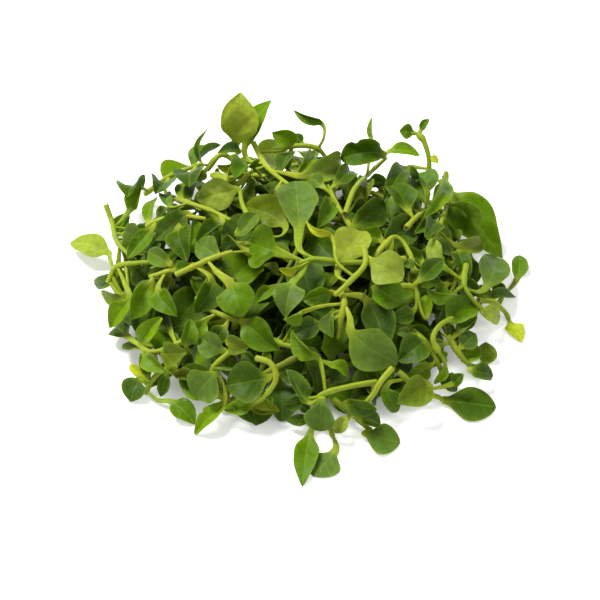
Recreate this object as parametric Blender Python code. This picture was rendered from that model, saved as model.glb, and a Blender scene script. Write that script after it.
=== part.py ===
"""A heap of loose watercress sprigs, as tipped out of a punnet onto a table.

Blender 4.5 script. Lengths are millimetres in the code and metres in Blender, +Z is up. The heap rests on
the plane z = 0, and its origin is under the middle of its box. Each object is one leafy stem.

A sprig is a stem and its leaves. Each point of the sprigs in front is given by where it shows in a picture
600 pixels square, taken from in front and above, and by how far it stands out of the heap's mean surface, a
low dome. The sprigs behind and inside are laid over smaller domes by a rule. A leaf that would cross what
lies there already is bent clear of it.
"""

import math
import random
from collections import namedtuple

import bmesh
import bpy
import numpy as np
from mathutils.bvhtree import BVHTree

MM = 0.001

# Driving dimensions
HEAP_CENTRE = np.array([-1.0, 2.0, -25.0])
HEAP_RADII = np.array([92.0, 80.0, 63.0])
STEM_RADIUS = 1.15
STEM_END_RADIUS = 0.8
STEM_SIDES = 4
PETIOLE_HALF_WIDTH = 0.6
PETIOLE_THICKNESS = 1.1
BLADE_THICKNESS = 0.7
GAP = 0.45
FLAT_ANGLE = math.radians(0.5)
FLOOR_DIP = 1.6
FLAT_BELOW = 9.0
FLAT_MARGIN = 1.1
ROLL_LOST_LYING = 0.8
TINY = 1e-6

# Leaf form, as shares of the blade's length or half width, with how steeply each curve sets in
BASE_TAPER = 1.25
TIP_TAPERS = (1.0, 0.62)
TIP_TAPER_PEAKS = (0.3, 0.5)
WING = 0.17
WING_REACH = 0.25
THIN_FROM = 0.3
DROOP_FROM = 0.4
DROOPS = (-0.04, 0.14)
TWISTS = (-24, 24)
RIPPLES = (0.012, 0.04)
RIPPLE_WAVES = 9.0
RIPPLE_OFFSET = 1.3
FULL_FOLD = 14.0
FOLD_ONSET = 4.0
FOLD_POWER = 1.4
BOW_POWER = 1.5

# Viewpoint of the picture
PIXELS = 600
PIXEL = 0.395
VIEW_DISTANCE = 658.0
VIEW_TILT = math.radians(45.0)
TO_VIEWER = np.array([0.0, -math.cos(VIEW_TILT), math.sin(VIEW_TILT)])
PICTURE_RIGHT = np.array([1.0, 0.0, 0.0])
PICTURE_UP = np.array([0.0, math.sin(VIEW_TILT), math.cos(VIEW_TILT)])
EYE = TO_VIEWER * VIEW_DISTANCE
UP = np.array([0.0, 0.0, 1.0])

# A leaf's middle surface is worked out on a grid, and the solid takes these rows and columns of it
Grid = namedtuple("Grid", "petiole_rows blade_rows columns")
GRID = Grid(8, 16, 8)
PETIOLE_ROWS = GRID.petiole_rows
LAST_ROW = GRID.petiole_rows + GRID.blade_rows
SOLID_BLADE_ROWS = [12, 17, 24]
SMALL_BLADE_ROWS = [14, 24]
SMALL_LEAF_WIDTH = 9.2
SOLID_COLUMNS = [0, 4, 8]
BLADE_ONLY_ROWS = [11, 15, 19, 24]

# Leaf colours, seen by eye: red, green, blue
TONES = {
    "lime": (0.45, 0.60, 0.12),
    "bright": (0.22, 0.42, 0.05),
    "mid": (0.13, 0.30, 0.05),
    "grey": (0.18, 0.36, 0.14),
    "pale": (0.36, 0.52, 0.22),
    "teal": (0.08, 0.22, 0.09),
    "dark": (0.05, 0.16, 0.03),
    "olive": (0.24, 0.34, 0.06),
    "yellow": (0.55, 0.60, 0.08),
    "stem": (0.42, 0.52, 0.12),
}
LEAF_ROUGHNESS = 0.45

Leaf = namedtuple("Leaf", "at base tip width tone roll fold arch via peak inner")
Sprig = namedtuple("Sprig", "name stem leaves place most_outward")
Pose = namedtuple("Pose", "leaf root shift turn seed")


def unit(vector):
    return vector / np.linalg.norm(vector)


def seen(u, v, lift):
    """The point seen at pixel (u, v), lift nearer the eye than where the view meets or passes the dome."""
    across = (u - PIXELS / 2) * PIXEL * PICTURE_RIGHT + (PIXELS / 2 - v) * PIXEL * PICTURE_UP
    way = unit(across - EYE)
    start = (EYE - HEAP_CENTRE) / HEAP_RADII
    step = way / HEAP_RADII
    a, b, c = step @ step, start @ step, start @ start - 1
    reach = (-b - math.sqrt(max(b * b - a * c, 0.0))) / a - lift
    to_floor = (EYE[2] - BLADE_THICKNESS / 2) / -way[2]
    return EYE + way * min(reach, to_floor)


def laid(layer):
    """A rule that lays (x, y), measured over the dome from its top, on the dome shrunk to layer."""

    def place(x, y, lift):
        outward = np.array([x, y]) / HEAP_RADII[:2] / layer
        turn = max(np.hypot(*outward), TINY)
        to_rim = math.acos(-HEAP_CENTRE[2] / HEAP_RADII[2])
        plan = outward / turn * (math.sin(min(turn, to_rim)) + max(turn - to_rim, 0))
        arm = HEAP_RADII * np.array([plan[0], plan[1], math.cos(min(turn, to_rim))])
        point = (HEAP_CENTRE + arm) * layer + unit(arm / HEAP_RADII**2) * lift
        point[2] = max(point[2], BLADE_THICKNESS / 2)
        return point

    return place


def leaf(at, base, tip, width, tone, roll=0, fold=24, arch=0.06, via=None, peak=0.4, inner=False):
    """One leaf: where on its stem it grows (0 to 1), blade base and tip, width, colour, turn and fold."""
    return Leaf(at, base, tip, width, tone, roll, fold, arch, via, peak, inner)


def front(name, stem, leaves):
    """A sprig whose points are given by where they show in the picture."""
    return Sprig("sprig_" + name, stem, leaves, seen, max(SHIFTS))


def smooth_curve(points, counts):
    """A curve through the points, with counts[i] steps on the stretch after point i."""
    points = np.array(points)
    slopes = np.empty_like(points)
    slopes[1:-1] = (points[2:] - points[:-2]) / 2
    slopes[0] = points[1] - points[0]
    slopes[-1] = points[-1] - points[-2]
    rows = [points[:1]]
    for i, count in enumerate(counts):
        chord = np.linalg.norm(points[i + 1] - points[i])
        start = slopes[i] * chord / max(np.linalg.norm(slopes[i]), TINY)
        end = slopes[i + 1] * chord / max(np.linalg.norm(slopes[i + 1]), TINY)
        t = (np.arange(1, count + 1) / count)[:, None]
        rows.append(
            (2 * t**3 - 3 * t**2 + 1) * points[i]
            + (t**3 - 2 * t**2 + t) * start
            + (3 * t**2 - 2 * t**3) * points[i + 1]
            + (t**3 - t**2) * end
        )
    return np.concatenate(rows)


def blade_outline(x, width, peak):
    """Half width of the leaf at each row: a petiole that widens into a spade, widest at peak.

    The nearer the blade's middle it is widest, the rounder is its tip.
    """
    p = math.log(0.5) / math.log(peak)
    on_blade = np.clip(x, 0, 1)
    swell = np.sin(math.pi * on_blade**p)
    power = np.where(x < peak, BASE_TAPER, np.interp(peak, TIP_TAPER_PEAKS, TIP_TAPERS))
    wing = WING * width / 2 * np.clip(1 + x / WING_REACH, 0, 1)
    return np.hypot((PETIOLE_HALF_WIDTH + wing) * (1 - on_blade), width / 2 * swell**power)


def leaf_line(pose, place, grid):
    """The leaf's centre line from its root to its tip."""
    leaf = pose.leaf
    base = place(leaf.base[0], leaf.base[1], leaf.base[2] + BASE_SHARE * pose.shift)
    tip = place(leaf.tip[0], leaf.tip[1], leaf.tip[2] + pose.shift)
    if leaf.via is None:
        return smooth_curve([pose.root, base, tip], [grid.petiole_rows, grid.blade_rows])
    half = grid.petiole_rows // 2
    via = place(leaf.via[0], leaf.via[1], leaf.via[2] + VIA_SHARE * pose.shift)
    return smooth_curve([pose.root, via, base, tip], [half, half, grid.blade_rows])


def leaf_surface(pose, place, grid):
    """Points and normals of the leaf's middle surface, and its half thickness, at each point of the grid."""
    leaf = pose.leaf
    line = leaf_line(pose, place, grid)
    base, tip = line[grid.petiole_rows], line[-1]
    axis = unit(tip - base)
    if place is seen:
        face = TO_VIEWER
    else:
        face = unit((base - HEAP_CENTRE) / HEAP_RADII**2)
    flatness = np.clip(FLAT_MARGIN - (base[2] + tip[2]) / 2 / FLAT_BELOW, 0, 1)
    face = unit(face * (1 - flatness) + UP * flatness)
    side = unit(np.cross(axis, face))
    normal = np.cross(side, axis)
    angle = math.radians(leaf.roll + pose.turn) * (1 - ROLL_LOST_LYING * flatness)
    side = side * math.cos(angle) + normal * math.sin(angle)
    normal = np.cross(side, axis)

    draw = random.Random(pose.seed)
    liveliness = min(leaf.fold / FULL_FOLD, 1) * (1 - flatness)
    ripple_phase = draw.uniform(0, 2 * math.pi)
    ripple_height = draw.uniform(*RIPPLES) * leaf.width * liveliness
    twist = math.radians(draw.uniform(*TWISTS)) * liveliness
    droop = draw.uniform(*DROOPS) * liveliness

    rows = grid.petiole_rows + grid.blade_rows
    x = (np.arange(rows + 1) - grid.petiole_rows) / grid.blade_rows
    on_blade = np.clip(x, 0, 1)
    bend = np.clip((x - DROOP_FROM) / (1 - DROOP_FROM), 0, 1) ** 2
    bow = leaf.arch * np.sin(math.pi * on_blade) ** BOW_POWER - droop * bend
    line = line + np.outer(bow * np.linalg.norm(tip - base), normal)
    tangents = np.gradient(line, axis=0)
    tangents /= np.linalg.norm(tangents, axis=1)[:, None]
    sides = np.empty_like(line)
    middle = grid.petiole_rows + grid.blade_rows // 2
    for run in (range(middle, rows + 1), range(middle, -1, -1)):
        current = side
        for i in run:
            current = unit(current - tangents[i] * (current @ tangents[i]))
            sides[i] = current
    twists = (twist * (on_blade - 0.5) * np.clip(1 + 2 * x, 0, 1))[:, None]
    ups = np.cross(sides, tangents)
    sides, ups = sides * np.cos(twists) + ups * np.sin(twists), ups * np.cos(twists) - sides * np.sin(twists)

    across = np.linspace(-1, 1, grid.columns + 1)
    half_width = blade_outline(x, leaf.width, leaf.peak)[:, None]
    fold = math.radians(leaf.fold) * np.clip(FOLD_ONSET * on_blade, 0, 1)[:, None]
    out = half_width * across * np.cos(fold)
    rise = half_width * np.abs(across) ** FOLD_POWER * np.sin(fold)
    phase = ripple_phase + RIPPLE_OFFSET * np.sign(across)
    ripple = np.sin(RIPPLE_WAVES * on_blade[:, None] + phase) * across**2
    rise = rise + ripple_height * ripple * np.sin(math.pi * on_blade)[:, None]
    points = line[:, None] + sides[:, None] * out[..., None] + ups[:, None] * rise[..., None]

    along = np.gradient(points, axis=0)
    over = np.gradient(points, axis=1)
    normals = np.cross(over, along)
    size = np.linalg.norm(normals, axis=2, keepdims=True)
    normals = np.where(size > TINY, normals / np.maximum(size, TINY), ups[:, None])
    normals[-1] = ups[-1]
    thick = np.interp(on_blade, [0, THIN_FROM], [PETIOLE_THICKNESS, BLADE_THICKNESS])
    return points, normals, np.repeat(thick[:, None] / 2, grid.columns + 1, axis=1)


def set_on_floor(top, bottom):
    """Lifts each pair of points, one on either face, that would be below the floor."""
    dip = np.minimum(np.minimum(top[..., 2], bottom[..., 2]), 0.0)
    top[..., 2] -= dip
    bottom[..., 2] -= dip


def strip(back, ahead):
    """Triangles between two rows of vertices that run side by side, alike on the left and the right."""
    i, j = 0, 0
    faces = []
    while i < len(back) - 1 or j < len(ahead) - 1:
        next_back = (i + 1) / max(len(back) - 1, 1) if i < len(back) - 1 else 2
        next_ahead = (j + 1) / max(len(ahead) - 1, 1) if j < len(ahead) - 1 else 2
        if next_back < next_ahead or (next_back == next_ahead and i < (len(back) - 1) / 2):
            faces.append((back[i], back[i + 1], ahead[j]))
            i += 1
        else:
            faces.append((back[i], ahead[j + 1], ahead[j]))
            j += 1
    return faces


def plate(points, normals, half_thick, rows, columns, grow=0.0):
    """The closed plate on these rows and columns of a leaf's grid, swollen by grow: vertices, triangles."""
    strips = []
    picked = []
    for row in rows:
        if row == LAST_ROW:
            across = [columns[len(columns) // 2]]
        elif row <= PETIOLE_ROWS:
            across = [columns[0], columns[-1]]
        else:
            across = columns
        strips.append(list(range(len(picked), len(picked) + len(across))))
        picked += [(row, column) for column in across]
    picked_rows, picked_columns = np.array(picked).T
    middle = points[picked_rows, picked_columns]
    if grow:
        outward = middle - points[picked_rows, GRID.columns // 2]
        middle = middle + outward / np.maximum(np.linalg.norm(outward, axis=1), TINY)[:, None] * grow
    offset = normals[picked_rows, picked_columns] * (half_thick[picked_rows, picked_columns] + grow)[:, None]
    top = middle + offset
    bottom = middle - offset
    set_on_floor(top, bottom)
    under = len(picked)
    faces = []
    for back, ahead in zip(strips, strips[1:]):
        for a, b, c in strip(back, ahead):
            faces += [(a, b, c), (a + under, c + under, b + under)]
        left, left_ahead, right, right_ahead = back[0], ahead[0], back[-1], ahead[-1]
        faces += [(left, left_ahead, left_ahead + under), (left, left_ahead + under, left + under)]
        faces += [(right, right + under, right_ahead + under), (right, right_ahead + under, right_ahead)]
    for a, b in zip(strips[0], strips[0][1:]):
        faces += [(a, a + under, b + under), (a, b + under, b)]
    return np.concatenate([top, bottom]), faces


def crosses_itself(solid):
    vertices, faces = solid
    tree = BVHTree.FromPolygons(vertices.tolist(), faces)
    return any(not set(faces[i]) & set(faces[j]) for i, j in tree.overlap(tree))


def solid_rows(leaf):
    """The grid rows of a leaf's solid: fewer on a small leaf and on one that lies inside the heap."""
    petiole = [0, PETIOLE_ROWS] if leaf.via is None else [0, PETIOLE_ROWS // 2, PETIOLE_ROWS]
    return petiole + (SMALL_BLADE_ROWS if leaf.width < SMALL_LEAF_WIDTH or leaf.inner else SOLID_BLADE_ROWS)


def stem_line(sprig, shift, steps):
    points = [sprig.place(a, b, lift + shift) for a, b, lift in sprig.stem]
    line = smooth_curve(points, [steps] * (len(points) - 1))
    line[:, 2] = np.maximum(line[:, 2], STEM_RADIUS)
    return line


def tube(line, start_radius, end_radius, sides):
    """A closed tube along the line: vertices and triangles, with a flat cut at either end."""
    tangents = np.gradient(line, axis=0)
    tangents /= np.linalg.norm(tangents, axis=1)[:, None]
    current = unit(np.cross(tangents[0], UP + 0.01 * PICTURE_RIGHT))
    radii = np.linspace(start_radius, end_radius, len(line))
    rings = []
    for tangent, centre, radius in zip(tangents, line, radii):
        current = unit(current - tangent * (current @ tangent))
        other = np.cross(tangent, current)
        angles = [2 * math.pi * k / sides for k in range(sides)]
        rings.append([centre + radius * (current * math.cos(a) + other * math.sin(a)) for a in angles])
    vertices = np.array(rings).reshape(-1, 3)
    vertices[:, 2] = np.maximum(vertices[:, 2], 0.0)
    faces = []
    for i in range(len(line) - 1):
        for k in range(sides):
            a, b = i * sides + k, i * sides + (k + 1) % sides
            faces.append((a, b, b + sides))
            faces.append((a, b + sides, a + sides))
    last = (len(line) - 1) * sides
    for k in range(1, sides - 1):
        faces.append((0, k + 1, k))
        faces.append((last, last + k, last + k + 1))
    return vertices, faces


class Space:
    """What lies in the heap already, kept to test new pieces against."""

    def __init__(self):
        self.kept = []

    def add(self, solid):
        vertices, faces = solid
        self.kept.append((vertices.min(0), vertices.max(0), BVHTree.FromPolygons(vertices.tolist(), faces)))

    def is_clear(self, solid):
        vertices, faces = solid
        low, high = vertices.min(0), vertices.max(0)
        near = [t for a, b, t in self.kept if (a < high).all() and (b > low).all()]
        if not near:
            return True
        tree = BVHTree.FromPolygons(vertices.tolist(), faces)
        return not any(tree.overlap(other) for other in near)

    def is_gap(self, point):
        """Whether a viewer in front sees the point, and sees through the heap behind it."""
        start = point.tolist()
        ways = (TO_VIEWER.tolist(), (-TO_VIEWER).tolist())
        return not any(tree.ray_cast(start, way)[0] for *_, tree in self.kept for way in ways)


# How the sprigs are bent clear of each other: shifts outward in millimetres, and turns in degrees
STEM_STEPS = 2
BASE_SHARE = 0.6
VIA_SHARE = 0.3
SHIFTS = (0, -1.5, 1.5, -3, 3, -4.5, 4.5, -6.5, 6.5, -9, 9)
LEAF_TURNS = (0, 18, -18, 38, -38, 60, -60)


def shifts_within(most_outward):
    return [shift for shift in SHIFTS if shift <= most_outward]


def place_stem(sprig, heap):
    for shift in shifts_within(sprig.most_outward):
        line = stem_line(sprig, shift, STEM_STEPS)
        if heap.is_clear(tube(line, STEM_RADIUS + GAP, STEM_END_RADIUS + GAP, STEM_SIDES)):
            return line, shift
    return None, 0


def place_leaf(sprig, leaf, root, heap, own, seed, shifts):
    """The leaf's first pose that is clear of the heap and, if one is, of its own sprig, with its surface."""
    rows = solid_rows(leaf)
    fallback = None
    for turn in LEAF_TURNS:
        for shift in shifts:
            pose = Pose(leaf, root, shift, turn, seed)
            surface = leaf_surface(pose, sprig.place, GRID)
            if surface[0][..., 2].min() < -FLOOR_DIP:
                continue
            if not heap.is_clear(plate(*surface, rows, SOLID_COLUMNS, GAP)):
                continue
            if crosses_itself(plate(*surface, rows, SOLID_COLUMNS)):
                continue
            if own.is_clear(plate(*surface, BLADE_ONLY_ROWS, SOLID_COLUMNS, GAP)):
                return pose, surface
            fallback = fallback or (pose, surface)
    return fallback


def grow(sprig, heap, seed):
    """The stem's shift, its leaves' poses and all solids, or None where the stem finds no room."""
    line, shift = place_stem(sprig, heap)
    if line is None:
        return None
    own = Space()
    solids = [tube(line, STEM_RADIUS, STEM_END_RADIUS, STEM_SIDES)]
    own.add(solids[0])
    poses = []
    for k, one in enumerate(sprig.leaves):
        at = one.at * (len(line) - 1)
        i = min(int(at), len(line) - 2)
        root = line[i] + (line[i + 1] - line[i]) * (at - i)
        shifts = [shift + further for further in shifts_within(sprig.most_outward)]
        placed = place_leaf(sprig, one, root, heap, own, seed + k, shifts)
        if placed:
            pose, surface = placed
            poses.append(pose)
            solids.append(plate(*surface, solid_rows(one), SOLID_COLUMNS))
            own.add(plate(*surface, BLADE_ONLY_ROWS, SOLID_COLUMNS))
    for solid in solids:
        heap.add(solid)
    return shift, poses, solids


HEROES = [
    front("centre", [(405, 259, 3), (368, 262, 5), (341, 262, 5), (315, 259, 5), (300, 263, 3)], [
        leaf(0.74, (299, 229, 3), (295, 181, 0), 17, "grey", roll=-6, fold=20, via=(300, 250, 5), peak=0.45),
        leaf(0.92, (277, 252, 3), (250, 243, 2), 17, "mid", roll=8, fold=14, peak=0.5),
        leaf(0.78, (297, 268, 3), (279, 269, 2), 5, "yellow", roll=40, fold=42),
        leaf(0.86, (292, 284, 1), (285, 318, 0), 12, "grey", roll=-10, fold=22, via=(303, 272, 2), peak=0.3),
        leaf(0.04, (404, 262, 2), (414, 268, 2), 5, "grey", roll=20),
    ]),
    front("hook", [(364, 248, 5), (365, 264, 6), (351, 280, 5), (335, 295, 3)], [
        leaf(0.72, (341, 262, 3), (364, 228, 1), 15, "lime", roll=12, fold=17, via=(338, 276, 4), peak=0.45),
        leaf(0.12, (372, 262, 2), (404, 277, 0), 15, "pale", roll=-8, fold=17, peak=0.45),
        leaf(0.95, (331, 293, 2), (303, 301, 0), 8.5, "mid", roll=15, fold=28),
        leaf(0.6, (331, 236, 4), (305, 222, 2), 3.4, "yellow", roll=30, via=(337, 262, 5), arch=0.3),
    ]),
    front("low_hero", [(340, 291, 2), (344, 303, 4), (341, 318, 2), (338, 338, -3)], [
        leaf(0.3, (352, 333, 4), (397, 364, 1), 16, "grey", roll=-10, fold=14, via=(350, 318, 5), arch=0.12),
        leaf(0.1, (366, 300, -2), (386, 349, -3), 14, "teal", roll=18, fold=22, peak=0.4),
        leaf(0.35, (303, 312, 1), (283, 319, 0), 7.5, "bright", roll=45, fold=42, via=(322, 306, 3)),
        leaf(0.6, (320, 324, 0), (292, 336, -1), 9, "teal", roll=-15, fold=28),
        leaf(0.5, (331, 314, 2), (333, 338, 1), 7.5, "grey", roll=-30, fold=34),
    ]),
    front("centre_left", [(176, 275, 3), (197, 265, 4), (213, 258, 5), (232, 252, 4)], [
        leaf(0.72, (219, 256, 4), (196, 243, 2), 10, "grey", roll=0, fold=17, peak=0.45),
        leaf(0.92, (250, 256, 3), (226, 239, 2), 11.5, "lime", roll=-12, via=(244, 252, 4), peak=0.45),
        leaf(0.55, (231, 285, 3), (243, 317, 0), 15.5, "mid", roll=-8, fold=14, via=(217, 272, 4)),
        leaf(0.3, (212, 281, 0), (197, 313, -2), 11, "dark", roll=12, fold=28),
    ]),
    front("long_stem", [(392, 368, 5), (381, 381, 6), (371, 397, 4), (353, 413, 2), (339, 427, 1)], [
        leaf(0.9, (346, 418, 2), (334, 433, 0), 6, "pale", roll=20, fold=34),
    ]),
    front("front_pair", [(317, 413, -4), (320, 420, -2), (329, 427, 0), (333, 438, 0)], [
        leaf(0.2, (310, 434, 0), (302, 486, 0), 9, "mid", roll=0, fold=14, arch=0.05, peak=0.42),
        leaf(0.9, (334, 452, 0), (313, 476, 0), 13, "grey", fold=0, arch=0, via=(336, 445, 0), peak=0.5),
    ]),
    front("junction", [(376, 382, 2), (356, 385, 4), (327, 392, 4), (317, 398, 3)], [
        leaf(0.72, (318, 358, 2), (289, 332, 1), 9.5, "bright", roll=42, fold=45, via=(323, 374, 4)),
        leaf(0.93, (321, 399, 3), (320, 431, 0), 12.5, "grey", roll=-5, fold=20, peak=0.55),
        leaf(0.8, (309, 402, 1), (286, 369, 0), 9.5, "grey", roll=-25, fold=48),
        leaf(0.93, (303, 400, -1), (284, 406, -2), 6, "dark", roll=10),
    ]),
    front("crown", [(253, 142, 1), (261, 158, 2), (272, 172, 1), (290, 186, -3)], [
        leaf(0.45, (245, 146, 1), (269, 99, 3), 11, "bright", roll=24, fold=25, via=(248, 160, 2)),
        leaf(0.62, (304, 176, 1), (345, 157, -1), 12, "pale", roll=-18, via=(288, 174, 2), arch=0.12),
        leaf(0.5, (238, 184, 1), (201, 200, 0), 9, "olive", roll=14, fold=28, via=(251, 172, 2)),
        leaf(0.35, (236, 166, 0), (217, 166, 0), 6, "yellow", roll=30, fold=48),
        leaf(0.2, (289, 146, -2), (272, 132, -1), 8, "bright", roll=0, fold=20),
    ]),
    front("right_sprig", [(466, 265, 3), (464, 285, 3), (473, 300, 2), (482, 309, 1)], [
        leaf(0.3, (443, 266, 1), (430, 238, 0), 7.5, "pale", roll=20, fold=22, via=(456, 276, 3)),
        leaf(0.36, (449, 296, 1), (427, 290, 0), 8, "bright", roll=34, fold=45, via=(459, 288, 3)),
        leaf(0.9, (482, 312, 0), (501, 316, 0), 8.5, "pale", roll=10, fold=20),
        leaf(0.4, (487, 286, 1), (496, 256, 0), 13, "grey", roll=-10, fold=20, via=(478, 292, 2), peak=0.42),
    ]),
    front("low_arc", [(256, 358, 4), (270, 363, 5), (276, 376, 4), (270, 390, 2), (257, 400, 0)], [
        leaf(0.93, (254, 401, 0), (224, 411, 0), 7, "bright", roll=20, fold=34),
        leaf(0.45, (267, 378, 1), (226, 386, 0), 15, "dark", roll=-6, fold=22, peak=0.45),
        leaf(0.8, (252, 407, -2), (280, 411, -1), 7.5, "olive", roll=20, fold=25, via=(262, 400, 0)),
    ]),
    front("ring", [(438, 352, 2), (433, 338, 3), (440, 325, 3), (452, 318, 1)], [
        leaf(0.9, (450, 322, 1), (471, 299, 0), 12.5, "mid", roll=12, fold=25),
        leaf(0.08, (445, 361, 0), (434, 350, 1), 6, "bright", roll=0, fold=28, via=(443, 357, 1)),
        leaf(0.05, (445, 366, 0), (434, 384, -1), 4.5, "bright", roll=34, fold=34),
    ]),
    front("ring_low", [(413, 331, -3), (422, 339, 0), (432, 352, 0), (442, 372, -1)], [
        leaf(0.3, (424, 341, 0), (399, 361, 0), 12, "dark", roll=-8, fold=28),
        leaf(0.95, (441, 378, 0), (457, 391, 0), 8.5, "dark", roll=0, fold=28),
        leaf(0.8, (430, 366, -1), (408, 376, -1), 8, "mid", roll=12, fold=31),
    ]),
    front("left_tip", [(108, 283, 0), (116, 268, 2), (137, 263, 2), (162, 262, -1)], [
        leaf(0.25, (107, 252, 1), (69, 242, 1), 10, "lime", fold=14, via=(110, 259, 2), arch=0.1, peak=0.36),
        leaf(0.36, (129, 299, 1), (110, 328, 0), 9, "bright", roll=-20, fold=34, via=(125, 284, 2)),
        leaf(0.3, (117, 275, 1), (92, 286, 0), 6.5, "grey", roll=24, fold=34),
        leaf(0.5, (124, 296, -2), (101, 291, -1), 5.5, "olive", roll=10, fold=25),
    ]),
    front("left_mid", [(147, 227, 1), (158, 221, 3), (180, 216, 1), (205, 219, -2)], [
        leaf(0.1, (148, 222, 1), (158, 199, 1), 6, "bright", roll=30, fold=36),
        leaf(0.3, (152, 229, 2), (127, 260, 0), 8.5, "mid", roll=-14, fold=28),
        leaf(0.85, (187, 214, 2), (155, 240, 0), 11, "grey", roll=10, fold=20),
        leaf(0.6, (178, 228, -1), (185, 258, -2), 12, "dark", roll=-8, fold=28),
    ]),
    front("left_top", [(168, 196, 0), (192, 204, 2), (212, 211, 2), (230, 220, 0)], [
        leaf(0.3, (171, 207, -1), (164, 190, 0), 5.5, "grey", roll=-20, fold=28),
        leaf(0.45, (181, 196, 0), (187, 183, 1), 5, "bright", roll=20, fold=28),
        leaf(0.5, (188, 202, -1), (198, 180, 0), 5.5, "teal", roll=10, fold=36),
        leaf(0.8, (222, 222, 2), (195, 243, 0), 9, "dark", roll=-30, fold=48),
    ]),
    front("arch", [(274, 151, 1), (295, 146, 2), (318, 149, 1), (331, 167, -2)], [
        leaf(0.66, (322, 124, 1), (293, 110, 2), 5, "mid", roll=30, fold=42, via=(324, 137, 1), arch=0.16),
        leaf(0.62, (313, 153, 1), (300, 173, 0), 8, "bright", roll=20, fold=39),
        leaf(0.28, (291, 152, 0), (281, 174, 0), 9, "teal", roll=-14, fold=28),
        leaf(0.5, (302, 143, -1), (294, 134, 0), 5.5, "teal", roll=0),
    ]),
    front("right_big", [(440, 180, 0), (447, 199, 2), (440, 225, 1), (428, 248, -3)], [
        leaf(0.25, (452, 196, 2), (503, 259, 0), 19, "mid", roll=-12, fold=24, arch=0.1, peak=0.33),
        leaf(0.08, (446, 178, 0), (430, 214, 1), 9, "bright", roll=24, fold=34, via=(446, 172, 0)),
        leaf(0.7, (438, 222, -2), (424, 238, -3), 8, "dark", roll=-10),
        leaf(0.75, (457, 246, -1), (482, 244, -1), 8, "olive", roll=10, fold=34),
    ]),
    front("sprout", [(417, 133, 0), (424, 142, 1), (429, 163, 0), (425, 186, -3)], [
        leaf(0.1, (413, 133, 0), (399, 131, 1), 6.5, "mid", roll=0, fold=14),
        leaf(0.12, (421, 130, 0), (429, 119, 1), 4, "mid", roll=20, fold=28),
        leaf(0.66, (431, 158, 0), (438, 163, 0), 3.5, "yellow", roll=10),
        leaf(0.8, (405, 178, 1), (429, 206, 0), 10, "mid", roll=14, fold=34),
        leaf(0.75, (409, 168, 0), (386, 196, -1), 10, "dark", roll=-12, fold=31),
    ]),
    front("right_crest", [(345, 214, -2), (354, 190, 1), (371, 172, 1), (386, 158, -1)], [
        leaf(0.8, (384, 155, 1), (341, 158, 1), 14, "dark", roll=-8, fold=36, arch=0.2, peak=0.5),
        leaf(0.9, (390, 151, -1), (420, 156, -1), 7, "bright", roll=30, fold=28),
        leaf(0.6, (371, 140, -3), (371, 117, -2), 3.2, "pale", roll=30, fold=42),
    ]),
    front("top_left", [(207, 170, -2), (221, 155, 0), (233, 160, -1), (247, 172, -4)], [
        leaf(0.4, (236, 142, -1), (241, 93, 2), 16.5, "lime", roll=-8, fold=17, via=(227, 149, 0)),
        leaf(0.1, (201, 163, 0), (206, 128, 2), 3.4, "mid", roll=40, fold=42, arch=0.15),
        leaf(0.2, (205, 171, 0), (197, 181, 0), 4.5, "olive", roll=20),
        leaf(0.55, (240, 151, 0), (218, 152, 1), 6.5, "teal", roll=-20, fold=36),
    ]),
    front("crest_left", [(270, 243, -4), (255, 226, -1), (243, 206, 0), (240, 189, -1)], [
        leaf(0.15, (284, 224, -1), (241, 204, 0), 14, "olive", roll=-8, fold=22, via=(281, 236, -1)),
        leaf(0.5, (238, 234, 0), (257, 212, 1), 8, "grey", roll=18, fold=28),
        leaf(0.93, (236, 190, 0), (197, 200, 0), 13, "pale", roll=8, fold=17, peak=0.45),
    ]),
    front("crest_right", [(352, 229, -5), (338, 207, -2), (328, 186, -2)], [
        leaf(0.1, (354, 226, -1), (385, 203, -1), 13, "dark", roll=-12, fold=25),
        leaf(0.5, (331, 200, 0), (318, 228, -1), 9, "mid", roll=24, fold=34),
        leaf(0.9, (336, 184, -1), (354, 170, -2), 9, "dark", roll=10, fold=28),
        leaf(0.75, (322, 186, -1), (309, 178, -2), 8, "grey", roll=-20, fold=28),
    ]),
    front("right_mid", [(372, 262, -4), (384, 246, -1), (398, 238, -2), (414, 262, -4)], [
        leaf(0.35, (383, 246, 0), (413, 221, -1), 14, "teal", roll=10, fold=28, peak=0.45),
        leaf(0.2, (381, 240, -2), (357, 236, -2), 9, "mid", roll=-10, fold=25),
        leaf(0.85, (422, 262, -1), (399, 252, -1), 8, "dark", roll=10, fold=34, via=(418, 266, -2)),
        leaf(0.9, (416, 272, -2), (440, 282, -2), 9, "dark", roll=0, fold=25),
    ]),
    front("inner_right", [(378, 284, -3), (396, 286, 0), (414, 288, 0), (418, 306, -2)], [
        leaf(0.1, (375, 287, 0), (403, 303, -1), 12.5, "mid", roll=-8, fold=22),
        leaf(0.8, (427, 316, 0), (425, 295, 0), 6.5, "bright", roll=20, fold=28, via=(424, 318, 0)),
        leaf(0.9, (413, 311, -1), (390, 320, -2), 7.5, "dark", roll=0, fold=28),
        leaf(0.6, (420, 280, -1), (444, 258, -2), 8, "dark", roll=14, fold=25),
    ]),
    front("right_edge", [(478, 300, -2), (493, 302, 0), (505, 312, 0), (509, 320, 0)], [
        leaf(0.93, (510, 323, 0), (521, 343, 0), 7.5, "yellow", roll=10, fold=17),
        leaf(0.4, (517, 278, 0), (520, 255, 1), 7.5, "mid", roll=-20, fold=28, via=(508, 291, 0)),
        leaf(0.2, (486, 298, -1), (516, 297, -1), 6.5, "dark", roll=16, fold=34),
        leaf(0.5, (501, 295, 0), (493, 282, 0), 6, "dark", roll=0, fold=28),
    ]),
    front("right_low", [(448, 336, -2), (456, 350, 0), (468, 364, 0), (478, 368, 0)], [
        leaf(0.45, (463, 361, 0), (478, 346, 0), 8.5, "bright", roll=10, fold=22),
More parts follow.
